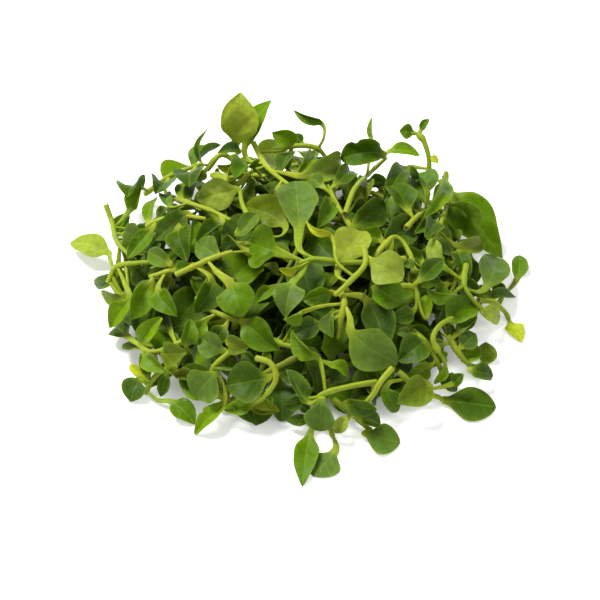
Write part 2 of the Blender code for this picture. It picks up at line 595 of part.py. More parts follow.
        leaf(0.8, (484, 363, 0), (486, 342, 0), 9, "olive", roll=-14, fold=20),
        leaf(0.93, (471, 370, 0), (493, 376, 0), 8, "dark", roll=6, fold=25),
        leaf(0.3, (461, 347, 0), (475, 334, 0), 8.5, "teal", roll=12, fold=17),
    ]),
    front("right_front", [(398, 372, -2), (415, 386, 0), (430, 394, 0), (440, 398, 0)], [
        leaf(0.93, (444, 400, 0), (496, 407, 0), 17, "dark", roll=0, fold=0, arch=0, peak=0.52),
        leaf(0.45, (430, 384, 0), (399, 402, 0), 12, "olive", roll=-8, fold=22),
        leaf(0.15, (386, 387, 0), (398, 413, 0), 8, "mid", roll=14, fold=31),
        leaf(0.5, (452, 384, -2), (463, 374, -1), 6, "dark", roll=0),
    ]),
    front("front_right", [(333, 399, -3), (349, 412, -2), (363, 424, 0), (371, 431, 0)], [
        leaf(0.93, (366, 433, 0), (400, 443, 0), 14, "grey", roll=0, fold=0, arch=0, peak=0.5),
        leaf(0.3, (345, 404, 0), (377, 410, -1), 8.5, "dark", roll=-20, fold=31),
        leaf(0.7, (360, 417, -1), (381, 425, -1), 8, "teal", roll=14, fold=28),
    ]),
    front("low_round", [(243, 344, -3), (229, 353, 0), (215, 365, 1), (211, 372, 0)], [
        leaf(0.9, (214, 373, 0), (194, 397, 0), 14, "grey", roll=-6, fold=14, peak=0.48),
        leaf(0.7, (224, 402, -1), (194, 435, 0), 8, "bright", roll=-20, fold=36, via=(224, 385, -1)),
        leaf(0.3, (222, 350, 0), (199, 337, 0), 11, "grey", roll=10, fold=25),
        leaf(0.2, (227, 343, 0), (249, 347, 0), 8, "olive", roll=-14, fold=28),
    ]),
    front("mid_left", [(197, 298, -3), (208, 308, 0), (228, 318, 0), (240, 322, -1)], [
        leaf(0.2, (205, 303, 2), (242, 312, 1), 8, "olive", roll=24, fold=48, arch=0.14),
        leaf(0.9, (243, 322, 0), (278, 350, 0), 12.5, "mid", roll=-6, fold=25),
        leaf(0.5, (205, 321, -1), (190, 345, -1), 8, "bright", roll=12, fold=28),
        leaf(0.7, (225, 327, -1), (214, 342, -1), 8, "dark", roll=-10, fold=25),
    ]),
    front("low_left", [(186, 340, -3), (170, 347, 0), (154, 352, 1), (142, 349, 0)], [
        leaf(0.9, (142, 345, 0), (161, 317, 1), 9.5, "bright", roll=20, fold=42),
        leaf(0.93, (144, 354, 0), (165, 372, 0), 8, "bright", roll=-14, fold=36),
        leaf(0.4, (162, 353, 0), (187, 353, 0), 10, "olive", roll=0, fold=22),
        leaf(0.05, (186, 345, -1), (191, 319, 0), 7.5, "mid", roll=-20, fold=31),
    ]),
    front("corner", [(178, 367, -2), (164, 370, 0), (151, 382, 0), (146, 394, 0)], [
        leaf(0.8, (140, 380, 0), (131, 402, 0), 10.5, "teal", roll=0, fold=14),
        leaf(0.93, (172, 402, 0), (195, 424, 0), 9, "mid", roll=-8, fold=20, via=(158, 400, 0)),
        leaf(0.6, (145, 377, 0), (129, 365, 1), 5, "yellow", roll=20, fold=36, via=(148, 381, 0)),
    ]),
    front("left_low", [(184, 268, -4), (166, 272, -1), (150, 277, 0)], [
        leaf(0.9, (151, 284, 0), (130, 320, 0), 10.5, "bright", roll=14, fold=28),
        leaf(0.5, (158, 290, -1), (175, 315, -1), 10, "mid", roll=-10, fold=31),
        leaf(0.3, (170, 264, 0), (148, 251, 0), 8.5, "mid", roll=10, fold=28),
    ]),
    front("left_high", [(106, 205, 1), (112, 222, 2), (117, 242, 1), (133, 258, -2)], [
        leaf(0.4, (129, 211, 1), (142, 186, 2), 8, "bright", roll=24, fold=28, via=(118, 224, 1)),
        leaf(0.6, (119, 232, 1), (128, 213, 1), 8, "mid", roll=-14, fold=36),
        leaf(0.9, (141, 250, 0), (160, 238, 0), 9, "grey", roll=10, fold=28),
    ]),
    front("low_centre", [(266, 338, -4), (282, 344, -1), (301, 350, 0), (312, 362, -2)], [
        leaf(0.3, (277, 351, 0), (302, 374, -1), 10, "dark", roll=-10, fold=25),
        leaf(0.8, (303, 349, 0), (318, 366, -1), 6, "teal", roll=14, fold=28),
        leaf(0.9, (330, 364, 0), (349, 377, 0), 7, "bright", roll=30, fold=42),
        leaf(0.2, (256, 347, -1), (240, 361, -1), 8, "dark", roll=0, fold=28),
    ]),
    front("right_inner", [(476, 246, -5), (466, 256, -3), (458, 270, -3), (452, 290, -5)], [
        leaf(0.35, (458, 251, -1), (468, 280, 0), 8, "dark", roll=14, fold=34),
        leaf(0.7, (461, 280, -2), (478, 296, -2), 9, "teal", roll=-10, fold=28),
        leaf(0.9, (446, 285, -3), (432, 300, -3), 8, "mid", roll=12, fold=28),
        leaf(0.5, (451, 262, -3), (441, 275, -3), 8, "dark", roll=-12, fold=34),
    ]),
    front("low_dark", [(404, 322, -7), (385, 334, -6), (366, 350, -6), (350, 366, -8)], [
        leaf(0.1, (410, 328, -5), (424, 345, -6), 11, "dark", roll=10, fold=28, inner=True),
        leaf(0.35, (395, 338, -5), (402, 362, -6), 12, "teal", roll=-8, fold=22, inner=True),
        leaf(0.6, (366, 340, -6), (345, 345, -7), 11, "dark", roll=16, fold=28, inner=True),
        leaf(0.85, (362, 366, -6), (372, 386, -7), 11, "dark", roll=-14, fold=25, inner=True),
        leaf(0.95, (344, 366, -7), (330, 380, -8), 10, "teal", roll=8, fold=31, inner=True),
    ]),
]

# Sprigs laid by rule: how many, leaves on each, layer of the dome, the stretch of it that they cover in
# degrees and millimetres from its top, how much larger than the smallest leaves theirs are, their colours
FILLS = [
    ("back", 8, 5, 1.0, (16, 160), (50, 84), 1.2, ("mid", "bright", "grey", "olive", "dark", "lime")),
    ("crest", 4, 5, 0.87, (15, 165), (16, 44), 1.5, ("mid", "dark", "teal")),
    ("rim", 6, 5, 0.88, (-172, -10), (46, 76), 1.5, ("dark", "teal", "mid")),
    ("under", 4, 6, 0.84, (-170, 10), (8, 42), 1.6, ("dark", "teal", "mid")),
    ("core", 2, 6, 0.62, (-150, 150), (6, 60), 1.7, ("dark", "teal")),
]
FILL_SEED = 41
FILL_TRIES = 40
FILL_SPREAD = (0.2, 0.8)
SEEDS_PER_SPRIG = 100
ALL_SEEDS = 10**6
FEWEST_LEAVES = 3
MOST_SPRIGS = 60
INNER_LAYER = 0.9
INNER_MOST_OUTWARD = 1.5

# Smallest and largest of what is drawn for a sprig laid by rule, in millimetres and degrees
SPRIG_LENGTHS = (24, 30)
SPRIG_BENDS = (-4, 4)
STEM_LIFTS = (-1, 1)
BASE_LIFTS = (0, 3)
TIP_LIFTS = (-1, 5)
PETIOLE_SIDEWAYS = (3, 5)
PETIOLE_AHEAD = (1, 3)
SIDEWAYS_SHARES = (0.6, 1)
AHEAD_SHARES = (0.1, 0.9)
LEAF_LENGTHS = (12, 16)
LEAF_WIDTHS = (10, 13.5)
LEAF_ROLLS = (-40, 40)
LEAF_FOLDS = (16, 42)
LEAF_ARCHES = (0.02, 0.12)
LEAF_PEAKS = (0.36, 0.48)
FIRST_LEAF = 0.08
LAST_LEAF = 0.92


def laid_sprig(name, draw, count, layer, azimuth, distance, size, tones):
    """A sprig with its leaves in turn on either side of the stem, laid over a layer of the dome."""
    centre = distance * np.array([math.cos(azimuth), math.sin(azimuth)])
    heading = draw.uniform(0, 2 * math.pi)
    ahead = np.array([math.cos(heading), math.sin(heading)])
    beside = np.array([-ahead[1], ahead[0]])
    length = draw.uniform(*SPRIG_LENGTHS) * size
    bend = draw.uniform(*SPRIG_BENDS)
    stem = []
    for t in (-0.5, 0, 0.5):
        x, y = centre + ahead * length * t + beside * bend * (1 - 4 * t * t)
        stem.append((x, y, draw.uniform(*STEM_LIFTS)))
    inner = layer < INNER_LAYER
    leaves = []
    for k in range(count):
        at = FIRST_LEAF + (LAST_LEAF - FIRST_LEAF) * k / (count - 1)
        side = beside * (1 if k % 2 else -1)
        root = centre + ahead * length * (at - 0.5)
        way = side * draw.uniform(*SIDEWAYS_SHARES) + ahead * draw.uniform(*AHEAD_SHARES)
        way = way / np.hypot(*way)
        base = root + side * draw.uniform(*PETIOLE_SIDEWAYS) + way * draw.uniform(*PETIOLE_AHEAD)
        tip = base + way * draw.uniform(*LEAF_LENGTHS) * size
        leaves.append(leaf(
            at,
            (base[0], base[1], draw.uniform(*BASE_LIFTS)),
            (tip[0], tip[1], draw.uniform(*TIP_LIFTS)),
            draw.uniform(*LEAF_WIDTHS) * size,
            draw.choice(tones),
            roll=draw.uniform(*LEAF_ROLLS),
            fold=draw.uniform(*LEAF_FOLDS),
            arch=draw.uniform(*LEAF_ARCHES),
            peak=draw.uniform(*LEAF_PEAKS),
            inner=inner,
        ))
    return Sprig(name, stem, leaves, laid(layer), INNER_MOST_OUTWARD if inner else max(SHIFTS))


# Leaves that grow from the stems into gaps: how many, tries for each, and sizes in millimetres and degrees
GAP_LEAVES = 22
GAP_TRIES = 100
GAP_SEED = 3
GAP_TONES = ("dark", "teal", "mid")
GAP_WIDTHS = (9.5, 13)
GAP_LENGTHS = (12, 17)
GAP_PETIOLES = (3, 7)
GAP_LIFTS = (-8, -2)
GAP_REACH = 0.93


def leaf_from_stem(sprig, draw, petioles, lengths, widths, lifts, tones):
    """A leaf that grows anywhere on the stem, in any direction, given as the sprig's own leaves are."""
    scale = 1 / PIXEL if sprig.place is seen else 1
    at = draw.uniform(FIRST_LEAF, LAST_LEAF)
    along = at * (len(sprig.stem) - 1)
    i = int(along)
    back, ahead = np.array(sprig.stem[i], float), np.array(sprig.stem[i + 1], float)
    root = back + (ahead - back) * (along - i)
    heading = draw.uniform(0, 2 * math.pi)
    way = np.array([math.cos(heading), math.sin(heading)]) * scale
    base = root[:2] + way * draw.uniform(*petioles)
    tip = base + way * draw.uniform(*lengths)
    lift = root[2] + draw.uniform(*lifts)
    return leaf(
        at,
        (base[0], base[1], (root[2] + lift) / 2),
        (tip[0], tip[1], lift),
        draw.uniform(*widths),
        draw.choice(tones),
        roll=draw.uniform(*LEAF_ROLLS),
        fold=draw.uniform(*LEAF_FOLDS),
        arch=draw.uniform(*LEAF_ARCHES),
        inner=True,
    )


def leaf_in_gap(sprig, shift, one, heap, own, seed):
    """The pose and surface of a leaf that closes a gap and is clear of everything, or None."""
    line = stem_line(sprig, shift, STEM_STEPS)
    at = one.at * (len(line) - 1)
    i = int(at)
    pose = Pose(one, line[i] + (line[i + 1] - line[i]) * (at - i), shift, 0, seed)
    surface = leaf_surface(pose, sprig.place, GRID)
    points = surface[0]
    middle = points[GRID.petiole_rows + GRID.blade_rows // 2, GRID.columns // 2]
    if points[..., 2].min() < 0 or np.linalg.norm((middle - HEAP_CENTRE) / HEAP_RADII) > GAP_REACH:
        return None
    if not heap.is_gap(middle) or not own.is_gap(middle):
        return None
    if not heap.is_clear(plate(*surface, solid_rows(one), SOLID_COLUMNS, GAP)):
        return None
    if not own.is_clear(plate(*surface, BLADE_ONLY_ROWS, SOLID_COLUMNS, GAP)):
        return None
    if crosses_itself(plate(*surface, solid_rows(one), SOLID_COLUMNS)):
        return None
    return pose, surface


def space_of(solids):
    space = Space()
    for solid in solids:
        space.add(solid)
    return space


def space_without(own, spaces):
    space = Space()
    space.kept = [entry for other in spaces if other is not own for entry in other.kept]
    return space


def fill_gaps(grown):
    """Adds leaves to the sprigs, one to a sprig at most, where the heap would show a gap."""
    draw = random.Random(GAP_SEED)
    spaces = [space_of(solids) for *_, solids in grown]
    count = 0
    for (sprig, shift, poses, solids), own in zip(grown, spaces):
        others = space_without(own, spaces)
        for _ in range(GAP_TRIES):
            one = leaf_from_stem(sprig, draw, GAP_PETIOLES, GAP_LENGTHS, GAP_WIDTHS, GAP_LIFTS, GAP_TONES)
            found = leaf_in_gap(sprig, shift, one, others, own, draw.randrange(ALL_SEEDS))
            if found and count < GAP_LEAVES:
                pose, surface = found
                poses.append(pose)
                solids.append(plate(*surface, solid_rows(one), SOLID_COLUMNS))
                own.add(solids[-1])
                count += 1
                break


def grow_heap():
    """Each sprig that finds room, with its stem's shift, its leaves' poses and its solids."""
    heap = Space()
    grown = []
    for k, sprig in enumerate(HEROES):
        result = grow(sprig, heap, SEEDS_PER_SPRIG * k)
        if result:
            grown.append((sprig, *result))
    draw = random.Random(FILL_SEED)
    for kind, count, leaf_count, layer, azimuths, distances, size, tones in FILLS:
        for k in range(count):
            for _ in range(FILL_TRIES):
                share = (k + draw.uniform(*FILL_SPREAD)) / count
                azimuth = math.radians(azimuths[0] + share * (azimuths[1] - azimuths[0]))
                distance = draw.uniform(*distances) * layer
                name = f"sprig_{kind}_{k + 1}"
                sprig = laid_sprig(name, draw, leaf_count, layer, azimuth, distance, size, tones)
                result = grow(sprig, heap, draw.randrange(ALL_SEEDS))
                if result and len(result[1]) >= FEWEST_LEAVES:
                    grown.append((sprig, *result))
                    break
    grown = grown[:MOST_SPRIGS]
    fill_gaps(grown)
    return grown


def heap_middle(grown):
    """The middle of the heap's box, on the floor."""
    every_point = np.concatenate([vertices for *_, solids in grown for vertices, _ in solids])
    middle = (every_point.min(0) + every_point.max(0)) / 2
    middle[2] = 0
    return middle


def leaf_material(name, tone):
    material = bpy.data.materials.new(name)
    material.use_nodes = True
    shader = material.node_tree.nodes["Principled BSDF"]
    shader.inputs["Base Color"].default_value = (*TONES[tone], 1)
    shader.inputs["Roughness"].default_value = LEAF_ROUGHNESS
    shader.inputs["Metallic"].default_value = 0
    return material


def mesh_object(name, solid, origin):
    vertices, faces = solid
    mesh = bpy.data.meshes.new(name)
    mesh.from_pydata(((vertices - origin) * MM).tolist(), [], faces)
    item = bpy.data.objects.new(name, mesh)
    item.location = origin * MM
    return item


def join(item, others):
    """Fuses the other objects into item with one union, and removes them."""
    parts = bpy.data.collections.new(item.name + "_parts")
    for other in others:
        parts.objects.link(other)
    bpy.context.scene.collection.objects.link(item)
    union = item.modifiers.new("union", "BOOLEAN")
    union.operation = "UNION"
    union.operand_type = "COLLECTION"
    union.collection = parts
    union.solver = "EXACT"
    bpy.context.view_layer.update()
    depsgraph = bpy.context.evaluated_depsgraph_get()
    fused = bmesh.new()
    fused.from_object(item, depsgraph)
    bmesh.ops.dissolve_limit(fused, angle_limit=FLAT_ANGLE, verts=fused.verts, edges=fused.edges)
    item.modifiers.clear()
    fused.to_mesh(item.data)
    fused.free()
    for other in others:
        bpy.data.objects.remove(other)
    bpy.data.collections.remove(parts)


def build():
    for item in list(bpy.data.objects):
        bpy.data.objects.remove(item)
    grown = grow_heap()
    middle = heap_middle(grown)
    for sprig, _, _, solids in grown:
        origin = solids[0][0][0] - middle
        moved = [(points - middle, faces) for points, faces in solids]
        stem, *blades = [mesh_object(sprig.name, solid, origin) for solid in moved]
        stem.name = sprig.name
        join(stem, blades)
        stem.data.shade_smooth()
        stem.data.materials.clear()
        stem.data.materials.append(leaf_material(sprig.name, sprig.leaves[0].tone))


if __name__ == "__main__":
    build()
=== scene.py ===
"""The looks of a heap of loose watercress sprigs.

Blender 4.5 script. The heap is laid out by the same rules as its solids, in millimetres, and each solid sprig
is replaced by one with thin veined leaves and round stems. The floor, light and camera follow the picture.
"""

import math
import random
from collections import namedtuple

import bpy
import numpy as np
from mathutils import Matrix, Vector
from mathutils.bvhtree import BVHTree


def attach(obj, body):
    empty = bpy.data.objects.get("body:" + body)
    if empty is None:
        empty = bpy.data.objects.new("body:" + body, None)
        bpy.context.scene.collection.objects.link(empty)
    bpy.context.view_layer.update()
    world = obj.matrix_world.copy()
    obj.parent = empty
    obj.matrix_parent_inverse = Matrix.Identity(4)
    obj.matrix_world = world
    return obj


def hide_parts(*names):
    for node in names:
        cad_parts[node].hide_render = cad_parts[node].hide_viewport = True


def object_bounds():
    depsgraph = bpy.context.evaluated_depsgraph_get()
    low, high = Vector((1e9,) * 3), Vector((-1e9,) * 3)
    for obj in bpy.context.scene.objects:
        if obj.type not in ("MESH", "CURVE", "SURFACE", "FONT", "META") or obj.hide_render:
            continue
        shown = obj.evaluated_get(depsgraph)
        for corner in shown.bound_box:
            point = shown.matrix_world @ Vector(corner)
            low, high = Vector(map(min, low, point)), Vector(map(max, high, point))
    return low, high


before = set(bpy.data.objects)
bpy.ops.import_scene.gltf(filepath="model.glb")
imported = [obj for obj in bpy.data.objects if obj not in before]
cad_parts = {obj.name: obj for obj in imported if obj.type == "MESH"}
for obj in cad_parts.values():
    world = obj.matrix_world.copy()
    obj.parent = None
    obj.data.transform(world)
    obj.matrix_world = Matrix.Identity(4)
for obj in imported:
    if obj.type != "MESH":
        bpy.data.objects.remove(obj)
CAD_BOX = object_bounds()

MM = 0.001

# Driving dimensions
HEAP_CENTRE = np.array([-1.0, 2.0, -25.0])
HEAP_RADII = np.array([92.0, 80.0, 63.0])
STEM_RADIUS = 1.15
STEM_END_RADIUS = 0.8
STEM_SIDES = 4
PETIOLE_HALF_WIDTH = 0.6
PETIOLE_THICKNESS = 1.1
BLADE_THICKNESS = 0.7
GAP = 0.45
FLOOR_DIP = 1.6
FLAT_BELOW = 9.0
FLAT_MARGIN = 1.1
ROLL_LOST_LYING = 0.8
TINY = 1e-6
ASKEW = 0.01

# Leaf form, as shares of the blade's length or half width, with how steeply each curve sets in
BASE_TAPER = 1.25
TIP_TAPERS = (1.0, 0.62)
TIP_TAPER_PEAKS = (0.3, 0.5)
WING = 0.17
WING_REACH = 0.25
THIN_FROM = 0.3
DROOP_FROM = 0.4
DROOPS = (-0.04, 0.14)
TWISTS = (-24, 24)
RIPPLES = (0.012, 0.04)
RIPPLE_WAVES = 9.0
RIPPLE_OFFSET = 1.3
FULL_FOLD = 14.0
FOLD_ONSET = 4.0
FOLD_POWER = 1.4
BOW_POWER = 1.5

# Viewpoint of the picture
PIXELS = 600
PIXEL = 0.395
VIEW_DISTANCE = 658.0
VIEW_TILT = math.radians(45.0)
TO_VIEWER = np.array([0.0, -math.cos(VIEW_TILT), math.sin(VIEW_TILT)])
PICTURE_RIGHT = np.array([1.0, 0.0, 0.0])
PICTURE_UP = np.array([0.0, math.sin(VIEW_TILT), math.cos(VIEW_TILT)])
EYE = TO_VIEWER * VIEW_DISTANCE
UP = np.array([0.0, 0.0, 1.0])

# A leaf's middle surface is worked out on a grid, and the solid takes these rows and columns of it
Grid = namedtuple("Grid", "petiole_rows blade_rows columns")
GRID = Grid(8, 16, 8)
PETIOLE_ROWS = GRID.petiole_rows
LAST_ROW = GRID.petiole_rows + GRID.blade_rows
SOLID_BLADE_ROWS = [12, 17, 24]
SMALL_BLADE_ROWS = [14, 24]
SMALL_LEAF_WIDTH = 9.2
SOLID_COLUMNS = [0, 4, 8]
BLADE_ONLY_ROWS = [11, 15, 19, 24]

Leaf = namedtuple("Leaf", "at base tip width tone roll fold arch via peak inner")
Sprig = namedtuple("Sprig", "name stem leaves place most_outward")
Pose = namedtuple("Pose", "leaf root shift turn seed")


def unit(vector):
    return vector / np.linalg.norm(vector)


def tangents_of(line):
    tangents = np.gradient(line, axis=0)
    return tangents / np.linalg.norm(tangents, axis=1)[:, None]


def square_to(tangent):
    """A level direction, or nearly, at right angles to this one."""
    return unit(np.cross(tangent, UP + ASKEW * PICTURE_RIGHT))


def seen(u, v, lift):
    """The point seen at pixel (u, v), lift nearer the eye than where the view meets or passes the dome."""
    across = (u - PIXELS / 2) * PIXEL * PICTURE_RIGHT + (PIXELS / 2 - v) * PIXEL * PICTURE_UP
    way = unit(across - EYE)
    start = (EYE - HEAP_CENTRE) / HEAP_RADII
    step = way / HEAP_RADII
    a, b, c = step @ step, start @ step, start @ start - 1
    reach = (-b - math.sqrt(max(b * b - a * c, 0.0))) / a - lift
    to_floor = (EYE[2] - BLADE_THICKNESS / 2) / -way[2]
    return EYE + way * min(reach, to_floor)


def laid(layer):
    """A rule that lays (x, y), measured over the dome from its top, on the dome shrunk to layer."""

    def place(x, y, lift):
        outward = np.array([x, y]) / HEAP_RADII[:2] / layer
        turn = max(np.hypot(*outward), TINY)
        to_rim = math.acos(-HEAP_CENTRE[2] / HEAP_RADII[2])
        plan = outward / turn * (math.sin(min(turn, to_rim)) + max(turn - to_rim, 0))
        arm = HEAP_RADII * np.array([plan[0], plan[1], math.cos(min(turn, to_rim))])
        point = (HEAP_CENTRE + arm) * layer + unit(arm / HEAP_RADII**2) * lift
        point[2] = max(point[2], BLADE_THICKNESS / 2)
        return point

    return place


def leaf(at, base, tip, width, tone, roll=0, fold=24, arch=0.06, via=None, peak=0.4, inner=False):
    """One leaf: where on its stem it grows (0 to 1), blade base and tip, width, colour, turn and fold."""
    return Leaf(at, base, tip, width, tone, roll, fold, arch, via, peak, inner)


def front(name, stem, leaves):
    """A sprig whose points are given by where they show in the picture."""
    return Sprig("sprig_" + name, stem, leaves, seen, max(SHIFTS))


def point_along(line, share):
    """The point of a line of points at a share of its steps."""
    along = share * (len(line) - 1)
    i = min(int(along), len(line) - 2)
    return line[i] + (line[i + 1] - line[i]) * (along - i)


def smooth_curve(points, counts):
    """A curve through the points, with counts[i] steps on the stretch after point i."""
    points = np.array(points)
    slopes = np.empty_like(points)
    slopes[1:-1] = (points[2:] - points[:-2]) / 2
    slopes[0] = points[1] - points[0]
    slopes[-1] = points[-1] - points[-2]
    rows = [points[:1]]
    for i, count in enumerate(counts):
        chord = np.linalg.norm(points[i + 1] - points[i])
        start = slopes[i] * chord / max(np.linalg.norm(slopes[i]), TINY)
        end = slopes[i + 1] * chord / max(np.linalg.norm(slopes[i + 1]), TINY)
        t = (np.arange(1, count + 1) / count)[:, None]
        rows.append(
            (2 * t**3 - 3 * t**2 + 1) * points[i]
            + (t**3 - 2 * t**2 + t) * start
            + (3 * t**2 - 2 * t**3) * points[i + 1]
            + (t**3 - t**2) * end
        )
    return np.concatenate(rows)


def blade_outline(x, width, peak):
    """Half width of the leaf at each row: a petiole that widens into a spade, widest at peak.

    The nearer the blade's middle it is widest, the rounder is its tip.
    """
    p = math.log(0.5) / math.log(peak)
    on_blade = np.clip(x, 0, 1)
    swell = np.sin(math.pi * on_blade**p)
    power = np.where(x < peak, BASE_TAPER, np.interp(peak, TIP_TAPER_PEAKS, TIP_TAPERS))
    wing = WING * width / 2 * np.clip(1 + x / WING_REACH, 0, 1)
    return np.hypot((PETIOLE_HALF_WIDTH + wing) * (1 - on_blade), width / 2 * swell**power)


def leaf_line(pose, place, grid):
    """The leaf's centre line from its root to its tip."""
    leaf = pose.leaf
    base = place(leaf.base[0], leaf.base[1], leaf.base[2] + BASE_SHARE * pose.shift)
    tip = place(leaf.tip[0], leaf.tip[1], leaf.tip[2] + pose.shift)
    if leaf.via is None:
        return smooth_curve([pose.root, base, tip], [grid.petiole_rows, grid.blade_rows])
    half = grid.petiole_rows // 2
    via = place(leaf.via[0], leaf.via[1], leaf.via[2] + VIA_SHARE * pose.shift)
    return smooth_curve([pose.root, via, base, tip], [half, half, grid.blade_rows])


def leaf_surface(pose, place, grid):
    """Points and normals of the leaf's middle surface, and its half thickness, at each point of the grid."""
    leaf = pose.leaf
    line = leaf_line(pose, place, grid)
    base, tip = line[grid.petiole_rows], line[-1]
    axis = unit(tip - base)
    if place is seen:
        face = TO_VIEWER
    else:
        face = unit((base - HEAP_CENTRE) / HEAP_RADII**2)
    flatness = np.clip(FLAT_MARGIN - (base[2] + tip[2]) / 2 / FLAT_BELOW, 0, 1)
    face = unit(face * (1 - flatness) + UP * flatness)
    side = unit(np.cross(axis, face))
    normal = np.cross(side, axis)
    angle = math.radians(leaf.roll + pose.turn) * (1 - ROLL_LOST_LYING * flatness)
    side = side * math.cos(angle) + normal * math.sin(angle)
    normal = np.cross(side, axis)

    draw = random.Random(pose.seed)
    liveliness = min(leaf.fold / FULL_FOLD, 1) * (1 - flatness)
    ripple_phase = draw.uniform(0, 2 * math.pi)
    ripple_height = draw.uniform(*RIPPLES) * leaf.width * liveliness
    twist = math.radians(draw.uniform(*TWISTS)) * liveliness
    droop = draw.uniform(*DROOPS) * liveliness

    rows = grid.petiole_rows + grid.blade_rows
    x = (np.arange(rows + 1) - grid.petiole_rows) / grid.blade_rows
    on_blade = np.clip(x, 0, 1)
    bend = np.clip((x - DROOP_FROM) / (1 - DROOP_FROM), 0, 1) ** 2
    bow = leaf.arch * np.sin(math.pi * on_blade) ** BOW_POWER - droop * bend
    line = line + np.outer(bow * np.linalg.norm(tip - base), normal)
    tangents = tangents_of(line)
    sides = np.empty_like(line)
    middle = grid.petiole_rows + grid.blade_rows // 2
    for run in (range(middle, rows + 1), range(middle, -1, -1)):
        current = side
        for i in run:
            current = unit(current - tangents[i] * (current @ tangents[i]))
            sides[i] = current
    twists = (twist * (on_blade - 0.5) * np.clip(1 + 2 * x, 0, 1))[:, None]
    ups = np.cross(sides, tangents)
    sides, ups = sides * np.cos(twists) + ups * np.sin(twists), ups * np.cos(twists) - sides * np.sin(twists)

    across = np.linspace(-1, 1, grid.columns + 1)
    half_width = blade_outline(x, leaf.width, leaf.peak)[:, None]
    fold = math.radians(leaf.fold) * np.clip(FOLD_ONSET * on_blade, 0, 1)[:, None]
    out = half_width * across * np.cos(fold)
    rise = half_width * np.abs(across) ** FOLD_POWER * np.sin(fold)
    phase = ripple_phase + RIPPLE_OFFSET * np.sign(across)
    ripple = np.sin(RIPPLE_WAVES * on_blade[:, None] + phase) * across**2
    rise = rise + ripple_height * ripple * np.sin(math.pi * on_blade)[:, None]
    points = line[:, None] + sides[:, None] * out[..., None] + ups[:, None] * rise[..., None]

    along = np.gradient(points, axis=0)
    over = np.gradient(points, axis=1)
    normals = np.cross(over, along)
    size = np.linalg.norm(normals, axis=2, keepdims=True)
    normals = np.where(size > TINY, normals / np.maximum(size, TINY), ups[:, None])
    normals[-1] = ups[-1]
    thick = np.interp(on_blade, [0, THIN_FROM], [PETIOLE_THICKNESS, BLADE_THICKNESS])
    return points, normals, np.repeat(thick[:, None] / 2, grid.columns + 1, axis=1)


def set_on_floor(top, bottom):
    """Lifts each pair of points, one on either face, that would be below the floor."""
    dip = np.minimum(np.minimum(top[..., 2], bottom[..., 2]), 0.0)
    top[..., 2] -= dip
    bottom[..., 2] -= dip


def strip(back, ahead):
    """Triangles between two rows of vertices that run side by side, alike on the left and the right."""
    i, j = 0, 0
    faces = []
    while i < len(back) - 1 or j < len(ahead) - 1:
        next_back = (i + 1) / max(len(back) - 1, 1) if i < len(back) - 1 else 2
        next_ahead = (j + 1) / max(len(ahead) - 1, 1) if j < len(ahead) - 1 else 2
        if next_back < next_ahead or (next_back == next_ahead and i < (len(back) - 1) / 2):
            faces.append((back[i], back[i + 1], ahead[j]))
            i += 1
        else:
            faces.append((back[i], ahead[j + 1], ahead[j]))
            j += 1
    return faces


def plate(points, normals, half_thick, rows, columns, grow=0.0):
    """The closed plate on these rows and columns of a leaf's grid, swollen by grow: vertices, triangles."""
    strips = []
    picked = []
    for row in rows:
        if row == LAST_ROW:
            across = [columns[len(columns) // 2]]
        elif row <= PETIOLE_ROWS:
            across = [columns[0], columns[-1]]
        else:
            across = columns
        strips.append(list(range(len(picked), len(picked) + len(across))))
        picked += [(row, column) for column in across]
    picked_rows, picked_columns = np.array(picked).T
    middle = points[picked_rows, picked_columns]
    if grow:
        outward = middle - points[picked_rows, GRID.columns // 2]
        middle = middle + outward / np.maximum(np.linalg.norm(outward, axis=1), TINY)[:, None] * grow
    offset = normals[picked_rows, picked_columns] * (half_thick[picked_rows, picked_columns] + grow)[:, None]
    top = middle + offset
    bottom = middle - offset
    set_on_floor(top, bottom)
    under = len(picked)
    faces = []
    for back, ahead in zip(strips, strips[1:]):
        for a, b, c in strip(back, ahead):
            faces += [(a, b, c), (a + under, c + under, b + under)]
        left, left_ahead, right, right_ahead = back[0], ahead[0], back[-1], ahead[-1]
        faces += [(left, left_ahead, left_ahead + under), (left, left_ahead + under, left + under)]
        faces += [(right, right + under, right_ahead + under), (right, right_ahead + under, right_ahead)]
    for a, b in zip(strips[0], strips[0][1:]):
        faces += [(a, a + under, b + under), (a, b + under, b)]
    return np.concatenate([top, bottom]), faces


def crosses_itself(solid):
    vertices, faces = solid
    tree = BVHTree.FromPolygons(vertices.tolist(), faces)
    return any(not set(faces[i]) & set(faces[j]) for i, j in tree.overlap(tree))


def solid_rows(leaf):
    """The grid rows of a leaf's solid: fewer on a small leaf and on one that lies inside the heap."""
    petiole = [0, PETIOLE_ROWS] if leaf.via is None else [0, PETIOLE_ROWS // 2, PETIOLE_ROWS]
    return petiole + (SMALL_BLADE_ROWS if leaf.width < SMALL_LEAF_WIDTH or leaf.inner else SOLID_BLADE_ROWS)


def stem_line(sprig, shift, steps):
    points = [sprig.place(a, b, lift + shift) for a, b, lift in sprig.stem]
    line = smooth_curve(points, [steps] * (len(points) - 1))
    line[:, 2] = np.maximum(line[:, 2], STEM_RADIUS)
    return line


